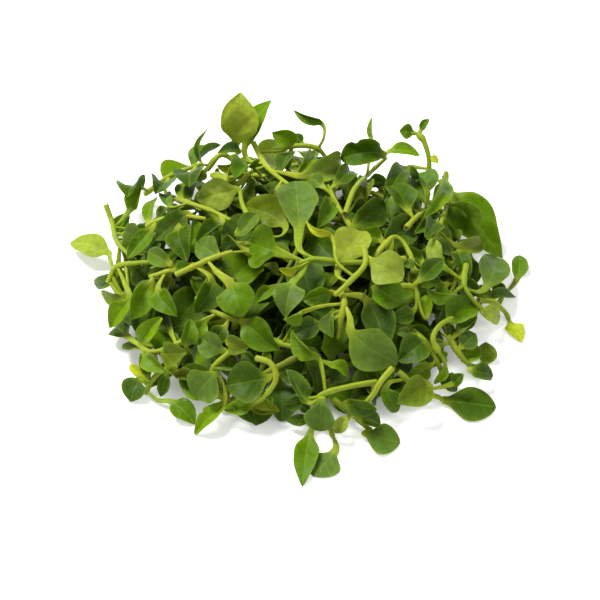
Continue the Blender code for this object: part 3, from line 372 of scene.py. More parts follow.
def tube(line, start_radius, end_radius, sides):
    """A closed tube along the line: vertices and triangles, with a flat cut at either end."""
    tangents = tangents_of(line)
    current = square_to(tangents[0])
    radii = np.linspace(start_radius, end_radius, len(line))
    rings = []
    for tangent, centre, radius in zip(tangents, line, radii):
        current = unit(current - tangent * (current @ tangent))
        other = np.cross(tangent, current)
        angles = [2 * math.pi * k / sides for k in range(sides)]
        rings.append([centre + radius * (current * math.cos(a) + other * math.sin(a)) for a in angles])
    vertices = np.array(rings).reshape(-1, 3)
    vertices[:, 2] = np.maximum(vertices[:, 2], 0.0)
    faces = []
    for i in range(len(line) - 1):
        for k in range(sides):
            a, b = i * sides + k, i * sides + (k + 1) % sides
            faces.append((a, b, b + sides))
            faces.append((a, b + sides, a + sides))
    last = (len(line) - 1) * sides
    for k in range(1, sides - 1):
        faces.append((0, k + 1, k))
        faces.append((last, last + k, last + k + 1))
    return vertices, faces


class Space:
    """What lies in the heap already, kept to test new pieces against."""

    def __init__(self):
        self.kept = []

    def add(self, solid):
        vertices, faces = solid
        self.kept.append((vertices.min(0), vertices.max(0), BVHTree.FromPolygons(vertices.tolist(), faces)))

    def is_clear(self, solid):
        vertices, faces = solid
        low, high = vertices.min(0), vertices.max(0)
        near = [t for a, b, t in self.kept if (a < high).all() and (b > low).all()]
        if not near:
            return True
        tree = BVHTree.FromPolygons(vertices.tolist(), faces)
        return not any(tree.overlap(other) for other in near)

    def is_gap(self, point):
        """Whether a viewer in front sees the point, and sees through the heap behind it."""
        start = point.tolist()
        ways = (TO_VIEWER.tolist(), (-TO_VIEWER).tolist())
        return not any(tree.ray_cast(start, way)[0] for *_, tree in self.kept for way in ways)


# How the sprigs are bent clear of each other: shifts outward in millimetres, and turns in degrees
STEM_STEPS = 2
BASE_SHARE = 0.6
VIA_SHARE = 0.3
SHIFTS = (0, -1.5, 1.5, -3, 3, -4.5, 4.5, -6.5, 6.5, -9, 9)
LEAF_TURNS = (0, 18, -18, 38, -38, 60, -60)


def shifts_within(most_outward):
    return [shift for shift in SHIFTS if shift <= most_outward]


def place_stem(sprig, heap):
    for shift in shifts_within(sprig.most_outward):
        line = stem_line(sprig, shift, STEM_STEPS)
        if heap.is_clear(tube(line, STEM_RADIUS + GAP, STEM_END_RADIUS + GAP, STEM_SIDES)):
            return line, shift
    return None, 0


def place_leaf(sprig, leaf, root, heap, own, seed, shifts):
    """The leaf's first pose that is clear of the heap and, if one is, of its own sprig, with its surface."""
    rows = solid_rows(leaf)
    fallback = None
    for turn in LEAF_TURNS:
        for shift in shifts:
            pose = Pose(leaf, root, shift, turn, seed)
            surface = leaf_surface(pose, sprig.place, GRID)
            if surface[0][..., 2].min() < -FLOOR_DIP:
                continue
            if not heap.is_clear(plate(*surface, rows, SOLID_COLUMNS, GAP)):
                continue
            if crosses_itself(plate(*surface, rows, SOLID_COLUMNS)):
                continue
            if own.is_clear(plate(*surface, BLADE_ONLY_ROWS, SOLID_COLUMNS, GAP)):
                return pose, surface
            fallback = fallback or (pose, surface)
    return fallback


def grow(sprig, heap, seed):
    """The stem's shift, its leaves' poses and all solids, or None where the stem finds no room."""
    line, shift = place_stem(sprig, heap)
    if line is None:
        return None
    own = Space()
    solids = [tube(line, STEM_RADIUS, STEM_END_RADIUS, STEM_SIDES)]
    own.add(solids[0])
    poses = []
    for k, one in enumerate(sprig.leaves):
        root = point_along(line, one.at)
        shifts = [shift + further for further in shifts_within(sprig.most_outward)]
        placed = place_leaf(sprig, one, root, heap, own, seed + k, shifts)
        if placed:
            pose, surface = placed
            poses.append(pose)
            solids.append(plate(*surface, solid_rows(one), SOLID_COLUMNS))
            own.add(plate(*surface, BLADE_ONLY_ROWS, SOLID_COLUMNS))
    for solid in solids:
        heap.add(solid)
    return shift, poses, solids


HEROES = [
    front("centre", [(405, 259, 3), (368, 262, 5), (341, 262, 5), (315, 259, 5), (300, 263, 3)], [
        leaf(0.74, (299, 229, 3), (295, 181, 0), 17, "grey", roll=-6, fold=20, via=(300, 250, 5), peak=0.45),
        leaf(0.92, (277, 252, 3), (250, 243, 2), 17, "mid", roll=8, fold=14, peak=0.5),
        leaf(0.78, (297, 268, 3), (279, 269, 2), 5, "yellow", roll=40, fold=42),
        leaf(0.86, (292, 284, 1), (285, 318, 0), 12, "grey", roll=-10, fold=22, via=(303, 272, 2), peak=0.3),
        leaf(0.04, (404, 262, 2), (414, 268, 2), 5, "grey", roll=20),
    ]),
    front("hook", [(364, 248, 5), (365, 264, 6), (351, 280, 5), (335, 295, 3)], [
        leaf(0.72, (341, 262, 3), (364, 228, 1), 15, "lime", roll=12, fold=17, via=(338, 276, 4), peak=0.45),
        leaf(0.12, (372, 262, 2), (404, 277, 0), 15, "pale", roll=-8, fold=17, peak=0.45),
        leaf(0.95, (331, 293, 2), (303, 301, 0), 8.5, "mid", roll=15, fold=28),
        leaf(0.6, (331, 236, 4), (305, 222, 2), 3.4, "yellow", roll=30, via=(337, 262, 5), arch=0.3),
    ]),
    front("low_hero", [(340, 291, 2), (344, 303, 4), (341, 318, 2), (338, 338, -3)], [
        leaf(0.3, (352, 333, 4), (397, 364, 1), 16, "grey", roll=-10, fold=14, via=(350, 318, 5), arch=0.12),
        leaf(0.1, (366, 300, -2), (386, 349, -3), 14, "teal", roll=18, fold=22, peak=0.4),
        leaf(0.35, (303, 312, 1), (283, 319, 0), 7.5, "bright", roll=45, fold=42, via=(322, 306, 3)),
        leaf(0.6, (320, 324, 0), (292, 336, -1), 9, "teal", roll=-15, fold=28),
        leaf(0.5, (331, 314, 2), (333, 338, 1), 7.5, "grey", roll=-30, fold=34),
    ]),
    front("centre_left", [(176, 275, 3), (197, 265, 4), (213, 258, 5), (232, 252, 4)], [
        leaf(0.72, (219, 256, 4), (196, 243, 2), 10, "grey", roll=0, fold=17, peak=0.45),
        leaf(0.92, (250, 256, 3), (226, 239, 2), 11.5, "lime", roll=-12, via=(244, 252, 4), peak=0.45),
        leaf(0.55, (231, 285, 3), (243, 317, 0), 15.5, "mid", roll=-8, fold=14, via=(217, 272, 4)),
        leaf(0.3, (212, 281, 0), (197, 313, -2), 11, "dark", roll=12, fold=28),
    ]),
    front("long_stem", [(392, 368, 5), (381, 381, 6), (371, 397, 4), (353, 413, 2), (339, 427, 1)], [
        leaf(0.9, (346, 418, 2), (334, 433, 0), 6, "pale", roll=20, fold=34),
    ]),
    front("front_pair", [(317, 413, -4), (320, 420, -2), (329, 427, 0), (333, 438, 0)], [
        leaf(0.2, (310, 434, 0), (302, 486, 0), 9, "mid", roll=0, fold=14, arch=0.05, peak=0.42),
        leaf(0.9, (334, 452, 0), (313, 476, 0), 13, "grey", fold=0, arch=0, via=(336, 445, 0), peak=0.5),
    ]),
    front("junction", [(376, 382, 2), (356, 385, 4), (327, 392, 4), (317, 398, 3)], [
        leaf(0.72, (318, 358, 2), (289, 332, 1), 9.5, "bright", roll=42, fold=45, via=(323, 374, 4)),
        leaf(0.93, (321, 399, 3), (320, 431, 0), 12.5, "grey", roll=-5, fold=20, peak=0.55),
        leaf(0.8, (309, 402, 1), (286, 369, 0), 9.5, "grey", roll=-25, fold=48),
        leaf(0.93, (303, 400, -1), (284, 406, -2), 6, "dark", roll=10),
    ]),
    front("crown", [(253, 142, 1), (261, 158, 2), (272, 172, 1), (290, 186, -3)], [
        leaf(0.45, (245, 146, 1), (269, 99, 3), 11, "bright", roll=24, fold=25, via=(248, 160, 2)),
        leaf(0.62, (304, 176, 1), (345, 157, -1), 12, "pale", roll=-18, via=(288, 174, 2), arch=0.12),
        leaf(0.5, (238, 184, 1), (201, 200, 0), 9, "olive", roll=14, fold=28, via=(251, 172, 2)),
        leaf(0.35, (236, 166, 0), (217, 166, 0), 6, "yellow", roll=30, fold=48),
        leaf(0.2, (289, 146, -2), (272, 132, -1), 8, "bright", roll=0, fold=20),
    ]),
    front("right_sprig", [(466, 265, 3), (464, 285, 3), (473, 300, 2), (482, 309, 1)], [
        leaf(0.3, (443, 266, 1), (430, 238, 0), 7.5, "pale", roll=20, fold=22, via=(456, 276, 3)),
        leaf(0.36, (449, 296, 1), (427, 290, 0), 8, "bright", roll=34, fold=45, via=(459, 288, 3)),
        leaf(0.9, (482, 312, 0), (501, 316, 0), 8.5, "pale", roll=10, fold=20),
        leaf(0.4, (487, 286, 1), (496, 256, 0), 13, "grey", roll=-10, fold=20, via=(478, 292, 2), peak=0.42),
    ]),
    front("low_arc", [(256, 358, 4), (270, 363, 5), (276, 376, 4), (270, 390, 2), (257, 400, 0)], [
        leaf(0.93, (254, 401, 0), (224, 411, 0), 7, "bright", roll=20, fold=34),
        leaf(0.45, (267, 378, 1), (226, 386, 0), 15, "dark", roll=-6, fold=22, peak=0.45),
        leaf(0.8, (252, 407, -2), (280, 411, -1), 7.5, "olive", roll=20, fold=25, via=(262, 400, 0)),
    ]),
    front("ring", [(438, 352, 2), (433, 338, 3), (440, 325, 3), (452, 318, 1)], [
        leaf(0.9, (450, 322, 1), (471, 299, 0), 12.5, "mid", roll=12, fold=25),
        leaf(0.08, (445, 361, 0), (434, 350, 1), 6, "bright", roll=0, fold=28, via=(443, 357, 1)),
        leaf(0.05, (445, 366, 0), (434, 384, -1), 4.5, "bright", roll=34, fold=34),
    ]),
    front("ring_low", [(413, 331, -3), (422, 339, 0), (432, 352, 0), (442, 372, -1)], [
        leaf(0.3, (424, 341, 0), (399, 361, 0), 12, "dark", roll=-8, fold=28),
        leaf(0.95, (441, 378, 0), (457, 391, 0), 8.5, "dark", roll=0, fold=28),
        leaf(0.8, (430, 366, -1), (408, 376, -1), 8, "mid", roll=12, fold=31),
    ]),
    front("left_tip", [(108, 283, 0), (116, 268, 2), (137, 263, 2), (162, 262, -1)], [
        leaf(0.25, (107, 252, 1), (69, 242, 1), 10, "lime", fold=14, via=(110, 259, 2), arch=0.1, peak=0.36),
        leaf(0.36, (129, 299, 1), (110, 328, 0), 9, "bright", roll=-20, fold=34, via=(125, 284, 2)),
        leaf(0.3, (117, 275, 1), (92, 286, 0), 6.5, "grey", roll=24, fold=34),
        leaf(0.5, (124, 296, -2), (101, 291, -1), 5.5, "olive", roll=10, fold=25),
    ]),
    front("left_mid", [(147, 227, 1), (158, 221, 3), (180, 216, 1), (205, 219, -2)], [
        leaf(0.1, (148, 222, 1), (158, 199, 1), 6, "bright", roll=30, fold=36),
        leaf(0.3, (152, 229, 2), (127, 260, 0), 8.5, "mid", roll=-14, fold=28),
        leaf(0.85, (187, 214, 2), (155, 240, 0), 11, "grey", roll=10, fold=20),
        leaf(0.6, (178, 228, -1), (185, 258, -2), 12, "dark", roll=-8, fold=28),
    ]),
    front("left_top", [(168, 196, 0), (192, 204, 2), (212, 211, 2), (230, 220, 0)], [
        leaf(0.3, (171, 207, -1), (164, 190, 0), 5.5, "grey", roll=-20, fold=28),
        leaf(0.45, (181, 196, 0), (187, 183, 1), 5, "bright", roll=20, fold=28),
        leaf(0.5, (188, 202, -1), (198, 180, 0), 5.5, "teal", roll=10, fold=36),
        leaf(0.8, (222, 222, 2), (195, 243, 0), 9, "dark", roll=-30, fold=48),
    ]),
    front("arch", [(274, 151, 1), (295, 146, 2), (318, 149, 1), (331, 167, -2)], [
        leaf(0.66, (322, 124, 1), (293, 110, 2), 5, "mid", roll=30, fold=42, via=(324, 137, 1), arch=0.16),
        leaf(0.62, (313, 153, 1), (300, 173, 0), 8, "bright", roll=20, fold=39),
        leaf(0.28, (291, 152, 0), (281, 174, 0), 9, "teal", roll=-14, fold=28),
        leaf(0.5, (302, 143, -1), (294, 134, 0), 5.5, "teal", roll=0),
    ]),
    front("right_big", [(440, 180, 0), (447, 199, 2), (440, 225, 1), (428, 248, -3)], [
        leaf(0.25, (452, 196, 2), (503, 259, 0), 19, "mid", roll=-12, fold=24, arch=0.1, peak=0.33),
        leaf(0.08, (446, 178, 0), (430, 214, 1), 9, "bright", roll=24, fold=34, via=(446, 172, 0)),
        leaf(0.7, (438, 222, -2), (424, 238, -3), 8, "dark", roll=-10),
        leaf(0.75, (457, 246, -1), (482, 244, -1), 8, "olive", roll=10, fold=34),
    ]),
    front("sprout", [(417, 133, 0), (424, 142, 1), (429, 163, 0), (425, 186, -3)], [
        leaf(0.1, (413, 133, 0), (399, 131, 1), 6.5, "mid", roll=0, fold=14),
        leaf(0.12, (421, 130, 0), (429, 119, 1), 4, "mid", roll=20, fold=28),
        leaf(0.66, (431, 158, 0), (438, 163, 0), 3.5, "yellow", roll=10),
        leaf(0.8, (405, 178, 1), (429, 206, 0), 10, "mid", roll=14, fold=34),
        leaf(0.75, (409, 168, 0), (386, 196, -1), 10, "dark", roll=-12, fold=31),
    ]),
    front("right_crest", [(345, 214, -2), (354, 190, 1), (371, 172, 1), (386, 158, -1)], [
        leaf(0.8, (384, 155, 1), (341, 158, 1), 14, "dark", roll=-8, fold=36, arch=0.2, peak=0.5),
        leaf(0.9, (390, 151, -1), (420, 156, -1), 7, "bright", roll=30, fold=28),
        leaf(0.6, (371, 140, -3), (371, 117, -2), 3.2, "pale", roll=30, fold=42),
    ]),
    front("top_left", [(207, 170, -2), (221, 155, 0), (233, 160, -1), (247, 172, -4)], [
        leaf(0.4, (236, 142, -1), (241, 93, 2), 16.5, "lime", roll=-8, fold=17, via=(227, 149, 0)),
        leaf(0.1, (201, 163, 0), (206, 128, 2), 3.4, "mid", roll=40, fold=42, arch=0.15),
        leaf(0.2, (205, 171, 0), (197, 181, 0), 4.5, "olive", roll=20),
        leaf(0.55, (240, 151, 0), (218, 152, 1), 6.5, "teal", roll=-20, fold=36),
    ]),
    front("crest_left", [(270, 243, -4), (255, 226, -1), (243, 206, 0), (240, 189, -1)], [
        leaf(0.15, (284, 224, -1), (241, 204, 0), 14, "olive", roll=-8, fold=22, via=(281, 236, -1)),
        leaf(0.5, (238, 234, 0), (257, 212, 1), 8, "grey", roll=18, fold=28),
        leaf(0.93, (236, 190, 0), (197, 200, 0), 13, "pale", roll=8, fold=17, peak=0.45),
    ]),
    front("crest_right", [(352, 229, -5), (338, 207, -2), (328, 186, -2)], [
        leaf(0.1, (354, 226, -1), (385, 203, -1), 13, "dark", roll=-12, fold=25),
        leaf(0.5, (331, 200, 0), (318, 228, -1), 9, "mid", roll=24, fold=34),
        leaf(0.9, (336, 184, -1), (354, 170, -2), 9, "dark", roll=10, fold=28),
        leaf(0.75, (322, 186, -1), (309, 178, -2), 8, "grey", roll=-20, fold=28),
    ]),
    front("right_mid", [(372, 262, -4), (384, 246, -1), (398, 238, -2), (414, 262, -4)], [
        leaf(0.35, (383, 246, 0), (413, 221, -1), 14, "teal", roll=10, fold=28, peak=0.45),
        leaf(0.2, (381, 240, -2), (357, 236, -2), 9, "mid", roll=-10, fold=25),
        leaf(0.85, (422, 262, -1), (399, 252, -1), 8, "dark", roll=10, fold=34, via=(418, 266, -2)),
        leaf(0.9, (416, 272, -2), (440, 282, -2), 9, "dark", roll=0, fold=25),
    ]),
    front("inner_right", [(378, 284, -3), (396, 286, 0), (414, 288, 0), (418, 306, -2)], [
        leaf(0.1, (375, 287, 0), (403, 303, -1), 12.5, "mid", roll=-8, fold=22),
        leaf(0.8, (427, 316, 0), (425, 295, 0), 6.5, "bright", roll=20, fold=28, via=(424, 318, 0)),
        leaf(0.9, (413, 311, -1), (390, 320, -2), 7.5, "dark", roll=0, fold=28),
        leaf(0.6, (420, 280, -1), (444, 258, -2), 8, "dark", roll=14, fold=25),
    ]),
    front("right_edge", [(478, 300, -2), (493, 302, 0), (505, 312, 0), (509, 320, 0)], [
        leaf(0.93, (510, 323, 0), (521, 343, 0), 7.5, "yellow", roll=10, fold=17),
        leaf(0.4, (517, 278, 0), (520, 255, 1), 7.5, "mid", roll=-20, fold=28, via=(508, 291, 0)),
        leaf(0.2, (486, 298, -1), (516, 297, -1), 6.5, "dark", roll=16, fold=34),
        leaf(0.5, (501, 295, 0), (493, 282, 0), 6, "dark", roll=0, fold=28),
    ]),
    front("right_low", [(448, 336, -2), (456, 350, 0), (468, 364, 0), (478, 368, 0)], [
        leaf(0.45, (463, 361, 0), (478, 346, 0), 8.5, "bright", roll=10, fold=22),
        leaf(0.8, (484, 363, 0), (486, 342, 0), 9, "olive", roll=-14, fold=20),
        leaf(0.93, (471, 370, 0), (493, 376, 0), 8, "dark", roll=6, fold=25),
        leaf(0.3, (461, 347, 0), (475, 334, 0), 8.5, "teal", roll=12, fold=17),
    ]),
    front("right_front", [(398, 372, -2), (415, 386, 0), (430, 394, 0), (440, 398, 0)], [
        leaf(0.93, (444, 400, 0), (496, 407, 0), 17, "dark", roll=0, fold=0, arch=0, peak=0.52),
        leaf(0.45, (430, 384, 0), (399, 402, 0), 12, "olive", roll=-8, fold=22),
        leaf(0.15, (386, 387, 0), (398, 413, 0), 8, "mid", roll=14, fold=31),
        leaf(0.5, (452, 384, -2), (463, 374, -1), 6, "dark", roll=0),
    ]),
    front("front_right", [(333, 399, -3), (349, 412, -2), (363, 424, 0), (371, 431, 0)], [
        leaf(0.93, (366, 433, 0), (400, 443, 0), 14, "grey", roll=0, fold=0, arch=0, peak=0.5),
        leaf(0.3, (345, 404, 0), (377, 410, -1), 8.5, "dark", roll=-20, fold=31),
        leaf(0.7, (360, 417, -1), (381, 425, -1), 8, "teal", roll=14, fold=28),
    ]),
    front("low_round", [(243, 344, -3), (229, 353, 0), (215, 365, 1), (211, 372, 0)], [
        leaf(0.9, (214, 373, 0), (194, 397, 0), 14, "grey", roll=-6, fold=14, peak=0.48),
        leaf(0.7, (224, 402, -1), (194, 435, 0), 8, "bright", roll=-20, fold=36, via=(224, 385, -1)),
        leaf(0.3, (222, 350, 0), (199, 337, 0), 11, "grey", roll=10, fold=25),
        leaf(0.2, (227, 343, 0), (249, 347, 0), 8, "olive", roll=-14, fold=28),
    ]),
    front("mid_left", [(197, 298, -3), (208, 308, 0), (228, 318, 0), (240, 322, -1)], [
        leaf(0.2, (205, 303, 2), (242, 312, 1), 8, "olive", roll=24, fold=48, arch=0.14),
        leaf(0.9, (243, 322, 0), (278, 350, 0), 12.5, "mid", roll=-6, fold=25),
        leaf(0.5, (205, 321, -1), (190, 345, -1), 8, "bright", roll=12, fold=28),
        leaf(0.7, (225, 327, -1), (214, 342, -1), 8, "dark", roll=-10, fold=25),
    ]),
    front("low_left", [(186, 340, -3), (170, 347, 0), (154, 352, 1), (142, 349, 0)], [
        leaf(0.9, (142, 345, 0), (161, 317, 1), 9.5, "bright", roll=20, fold=42),
        leaf(0.93, (144, 354, 0), (165, 372, 0), 8, "bright", roll=-14, fold=36),
        leaf(0.4, (162, 353, 0), (187, 353, 0), 10, "olive", roll=0, fold=22),
        leaf(0.05, (186, 345, -1), (191, 319, 0), 7.5, "mid", roll=-20, fold=31),
    ]),
    front("corner", [(178, 367, -2), (164, 370, 0), (151, 382, 0), (146, 394, 0)], [
        leaf(0.8, (140, 380, 0), (131, 402, 0), 10.5, "teal", roll=0, fold=14),
        leaf(0.93, (172, 402, 0), (195, 424, 0), 9, "mid", roll=-8, fold=20, via=(158, 400, 0)),
        leaf(0.6, (145, 377, 0), (129, 365, 1), 5, "yellow", roll=20, fold=36, via=(148, 381, 0)),
    ]),
    front("left_low", [(184, 268, -4), (166, 272, -1), (150, 277, 0)], [
        leaf(0.9, (151, 284, 0), (130, 320, 0), 10.5, "bright", roll=14, fold=28),
        leaf(0.5, (158, 290, -1), (175, 315, -1), 10, "mid", roll=-10, fold=31),
        leaf(0.3, (170, 264, 0), (148, 251, 0), 8.5, "mid", roll=10, fold=28),
    ]),
    front("left_high", [(106, 205, 1), (112, 222, 2), (117, 242, 1), (133, 258, -2)], [
        leaf(0.4, (129, 211, 1), (142, 186, 2), 8, "bright", roll=24, fold=28, via=(118, 224, 1)),
        leaf(0.6, (119, 232, 1), (128, 213, 1), 8, "mid", roll=-14, fold=36),
        leaf(0.9, (141, 250, 0), (160, 238, 0), 9, "grey", roll=10, fold=28),
    ]),
    front("low_centre", [(266, 338, -4), (282, 344, -1), (301, 350, 0), (312, 362, -2)], [
        leaf(0.3, (277, 351, 0), (302, 374, -1), 10, "dark", roll=-10, fold=25),
        leaf(0.8, (303, 349, 0), (318, 366, -1), 6, "teal", roll=14, fold=28),
        leaf(0.9, (330, 364, 0), (349, 377, 0), 7, "bright", roll=30, fold=42),
        leaf(0.2, (256, 347, -1), (240, 361, -1), 8, "dark", roll=0, fold=28),
    ]),
    front("right_inner", [(476, 246, -5), (466, 256, -3), (458, 270, -3), (452, 290, -5)], [
        leaf(0.35, (458, 251, -1), (468, 280, 0), 8, "dark", roll=14, fold=34),
        leaf(0.7, (461, 280, -2), (478, 296, -2), 9, "teal", roll=-10, fold=28),
        leaf(0.9, (446, 285, -3), (432, 300, -3), 8, "mid", roll=12, fold=28),
        leaf(0.5, (451, 262, -3), (441, 275, -3), 8, "dark", roll=-12, fold=34),
    ]),
    front("low_dark", [(404, 322, -7), (385, 334, -6), (366, 350, -6), (350, 366, -8)], [
        leaf(0.1, (410, 328, -5), (424, 345, -6), 11, "dark", roll=10, fold=28, inner=True),
        leaf(0.35, (395, 338, -5), (402, 362, -6), 12, "teal", roll=-8, fold=22, inner=True),
        leaf(0.6, (366, 340, -6), (345, 345, -7), 11, "dark", roll=16, fold=28, inner=True),
        leaf(0.85, (362, 366, -6), (372, 386, -7), 11, "dark", roll=-14, fold=25, inner=True),
        leaf(0.95, (344, 366, -7), (330, 380, -8), 10, "teal", roll=8, fold=31, inner=True),
    ]),
]

# Sprigs laid by rule: how many, leaves on each, layer of the dome, the stretch of it that they cover in
# degrees and millimetres from its top, how much larger than the smallest leaves theirs are, their colours
FILLS = [
    ("back", 8, 5, 1.0, (16, 160), (50, 84), 1.2, ("mid", "bright", "grey", "olive", "dark", "lime")),
    ("crest", 4, 5, 0.87, (15, 165), (16, 44), 1.5, ("mid", "dark", "teal")),
    ("rim", 6, 5, 0.88, (-172, -10), (46, 76), 1.5, ("dark", "teal", "mid")),
    ("under", 4, 6, 0.84, (-170, 10), (8, 42), 1.6, ("dark", "teal", "mid")),
    ("core", 2, 6, 0.62, (-150, 150), (6, 60), 1.7, ("dark", "teal")),
]
FILL_SEED = 41
FILL_TRIES = 40
FILL_SPREAD = (0.2, 0.8)
SEEDS_PER_SPRIG = 100
ALL_SEEDS = 10**6
FEWEST_LEAVES = 3
MOST_SPRIGS = 60
INNER_LAYER = 0.9
INNER_MOST_OUTWARD = 1.5

# Smallest and largest of what is drawn for a sprig laid by rule, in millimetres and degrees
SPRIG_LENGTHS = (24, 30)
SPRIG_BENDS = (-4, 4)
STEM_LIFTS = (-1, 1)
BASE_LIFTS = (0, 3)
TIP_LIFTS = (-1, 5)
PETIOLE_SIDEWAYS = (3, 5)
PETIOLE_AHEAD = (1, 3)
SIDEWAYS_SHARES = (0.6, 1)
AHEAD_SHARES = (0.1, 0.9)
LEAF_LENGTHS = (12, 16)
LEAF_WIDTHS = (10, 13.5)
LEAF_ROLLS = (-40, 40)
LEAF_FOLDS = (16, 42)
LEAF_ARCHES = (0.02, 0.12)
LEAF_PEAKS = (0.36, 0.48)
FIRST_LEAF = 0.08
LAST_LEAF = 0.92


def laid_sprig(name, draw, count, layer, azimuth, distance, size, tones):
    """A sprig with its leaves in turn on either side of the stem, laid over a layer of the dome."""
    centre = distance * np.array([math.cos(azimuth), math.sin(azimuth)])
    heading = draw.uniform(0, 2 * math.pi)
    ahead = np.array([math.cos(heading), math.sin(heading)])
    beside = np.array([-ahead[1], ahead[0]])
    length = draw.uniform(*SPRIG_LENGTHS) * size
    bend = draw.uniform(*SPRIG_BENDS)
    stem = []
    for t in (-0.5, 0, 0.5):
        x, y = centre + ahead * length * t + beside * bend * (1 - 4 * t * t)
        stem.append((x, y, draw.uniform(*STEM_LIFTS)))
    inner = layer < INNER_LAYER
    leaves = []
    for k in range(count):
        at = FIRST_LEAF + (LAST_LEAF - FIRST_LEAF) * k / (count - 1)
        side = beside * (1 if k % 2 else -1)
        root = centre + ahead * length * (at - 0.5)
        way = side * draw.uniform(*SIDEWAYS_SHARES) + ahead * draw.uniform(*AHEAD_SHARES)
        way = way / np.hypot(*way)
        base = root + side * draw.uniform(*PETIOLE_SIDEWAYS) + way * draw.uniform(*PETIOLE_AHEAD)
        tip = base + way * draw.uniform(*LEAF_LENGTHS) * size
        leaves.append(leaf(
            at,
            (base[0], base[1], draw.uniform(*BASE_LIFTS)),
            (tip[0], tip[1], draw.uniform(*TIP_LIFTS)),
            draw.uniform(*LEAF_WIDTHS) * size,
            draw.choice(tones),
            roll=draw.uniform(*LEAF_ROLLS),
            fold=draw.uniform(*LEAF_FOLDS),
            arch=draw.uniform(*LEAF_ARCHES),
            peak=draw.uniform(*LEAF_PEAKS),
            inner=inner,
        ))
    return Sprig(name, stem, leaves, laid(layer), INNER_MOST_OUTWARD if inner else max(SHIFTS))


# Leaves that grow from the stems into gaps: how many, tries for each, and sizes in millimetres and degrees
GAP_LEAVES = 22
GAP_TRIES = 100
GAP_SEED = 3
GAP_TONES = ("dark", "teal", "mid")
GAP_WIDTHS = (9.5, 13)
GAP_LENGTHS = (12, 17)
GAP_PETIOLES = (3, 7)
GAP_LIFTS = (-8, -2)
GAP_REACH = 0.93


def leaf_from_stem(sprig, draw, petioles, lengths, widths, lifts, tones):
    """A leaf that grows anywhere on the stem, in any direction, given as the sprig's own leaves are."""
    scale = 1 / PIXEL if sprig.place is seen else 1
    at = draw.uniform(FIRST_LEAF, LAST_LEAF)
    root = point_along(np.array(sprig.stem, float), at)
    heading = draw.uniform(0, 2 * math.pi)
    way = np.array([math.cos(heading), math.sin(heading)]) * scale
    base = root[:2] + way * draw.uniform(*petioles)
    tip = base + way * draw.uniform(*lengths)
    lift = root[2] + draw.uniform(*lifts)
    return leaf(
        at,
        (base[0], base[1], (root[2] + lift) / 2),
        (tip[0], tip[1], lift),
        draw.uniform(*widths),
        draw.choice(tones),
        roll=draw.uniform(*LEAF_ROLLS),
        fold=draw.uniform(*LEAF_FOLDS),
        arch=draw.uniform(*LEAF_ARCHES),
        inner=True,
    )


def leaf_in_gap(sprig, shift, one, heap, own, seed):
    """The pose and surface of a leaf that closes a gap and is clear of everything, or None."""
    pose = Pose(one, point_along(stem_line(sprig, shift, STEM_STEPS), one.at), shift, 0, seed)
    surface = leaf_surface(pose, sprig.place, GRID)
    points = surface[0]
    middle = points[GRID.petiole_rows + GRID.blade_rows // 2, GRID.columns // 2]
    if points[..., 2].min() < 0 or np.linalg.norm((middle - HEAP_CENTRE) / HEAP_RADII) > GAP_REACH:
        return None
    if not heap.is_gap(middle) or not own.is_gap(middle):
        return None
    if not heap.is_clear(plate(*surface, solid_rows(one), SOLID_COLUMNS, GAP)):
        return None
    if not own.is_clear(plate(*surface, BLADE_ONLY_ROWS, SOLID_COLUMNS, GAP)):
        return None
    if crosses_itself(plate(*surface, solid_rows(one), SOLID_COLUMNS)):
        return None
    return pose, surface


def space_of(solids):
    space = Space()
    for solid in solids:
        space.add(solid)
    return space


def space_without(own, spaces):
    space = Space()
    space.kept = [entry for other in spaces if other is not own for entry in other.kept]
    return space


def fill_gaps(grown):
    """Adds leaves to the sprigs, one to a sprig at most, where the heap would show a gap."""
    draw = random.Random(GAP_SEED)
    spaces = [space_of(solids) for *_, solids in grown]
    count = 0
    for (sprig, shift, poses, solids), own in zip(grown, spaces):
        others = space_without(own, spaces)
        for _ in range(GAP_TRIES):
            one = leaf_from_stem(sprig, draw, GAP_PETIOLES, GAP_LENGTHS, GAP_WIDTHS, GAP_LIFTS, GAP_TONES)
            found = leaf_in_gap(sprig, shift, one, others, own, draw.randrange(ALL_SEEDS))
            if found and count < GAP_LEAVES:
                pose, surface = found
                poses.append(pose)
                solids.append(plate(*surface, solid_rows(one), SOLID_COLUMNS))
                own.add(solids[-1])
                count += 1
                break


def grow_heap():
    """Each sprig that finds room, with its stem's shift, its leaves' poses and its solids."""
    heap = Space()
    grown = []
    for k, sprig in enumerate(HEROES):
        result = grow(sprig, heap, SEEDS_PER_SPRIG * k)
        if result:
            grown.append((sprig, *result))
    draw = random.Random(FILL_SEED)
    for kind, count, leaf_count, layer, azimuths, distances, size, tones in FILLS:
        for k in range(count):
            for _ in range(FILL_TRIES):
                share = (k + draw.uniform(*FILL_SPREAD)) / count
                azimuth = math.radians(azimuths[0] + share * (azimuths[1] - azimuths[0]))
                distance = draw.uniform(*distances) * layer
                name = f"sprig_{kind}_{k + 1}"
                sprig = laid_sprig(name, draw, leaf_count, layer, azimuth, distance, size, tones)
                result = grow(sprig, heap, draw.randrange(ALL_SEEDS))
                if result and len(result[1]) >= FEWEST_LEAVES:
                    grown.append((sprig, *result))
                    break
    grown = grown[:MOST_SPRIGS]
    fill_gaps(grown)
    return grown


def heap_middle(grown):
    """The middle of the heap's box, on the floor."""
    every_point = np.concatenate([vertices for *_, solids in grown for vertices, _ in solids])
    middle = (every_point.min(0) + every_point.max(0)) / 2
    middle[2] = 0
    return middle


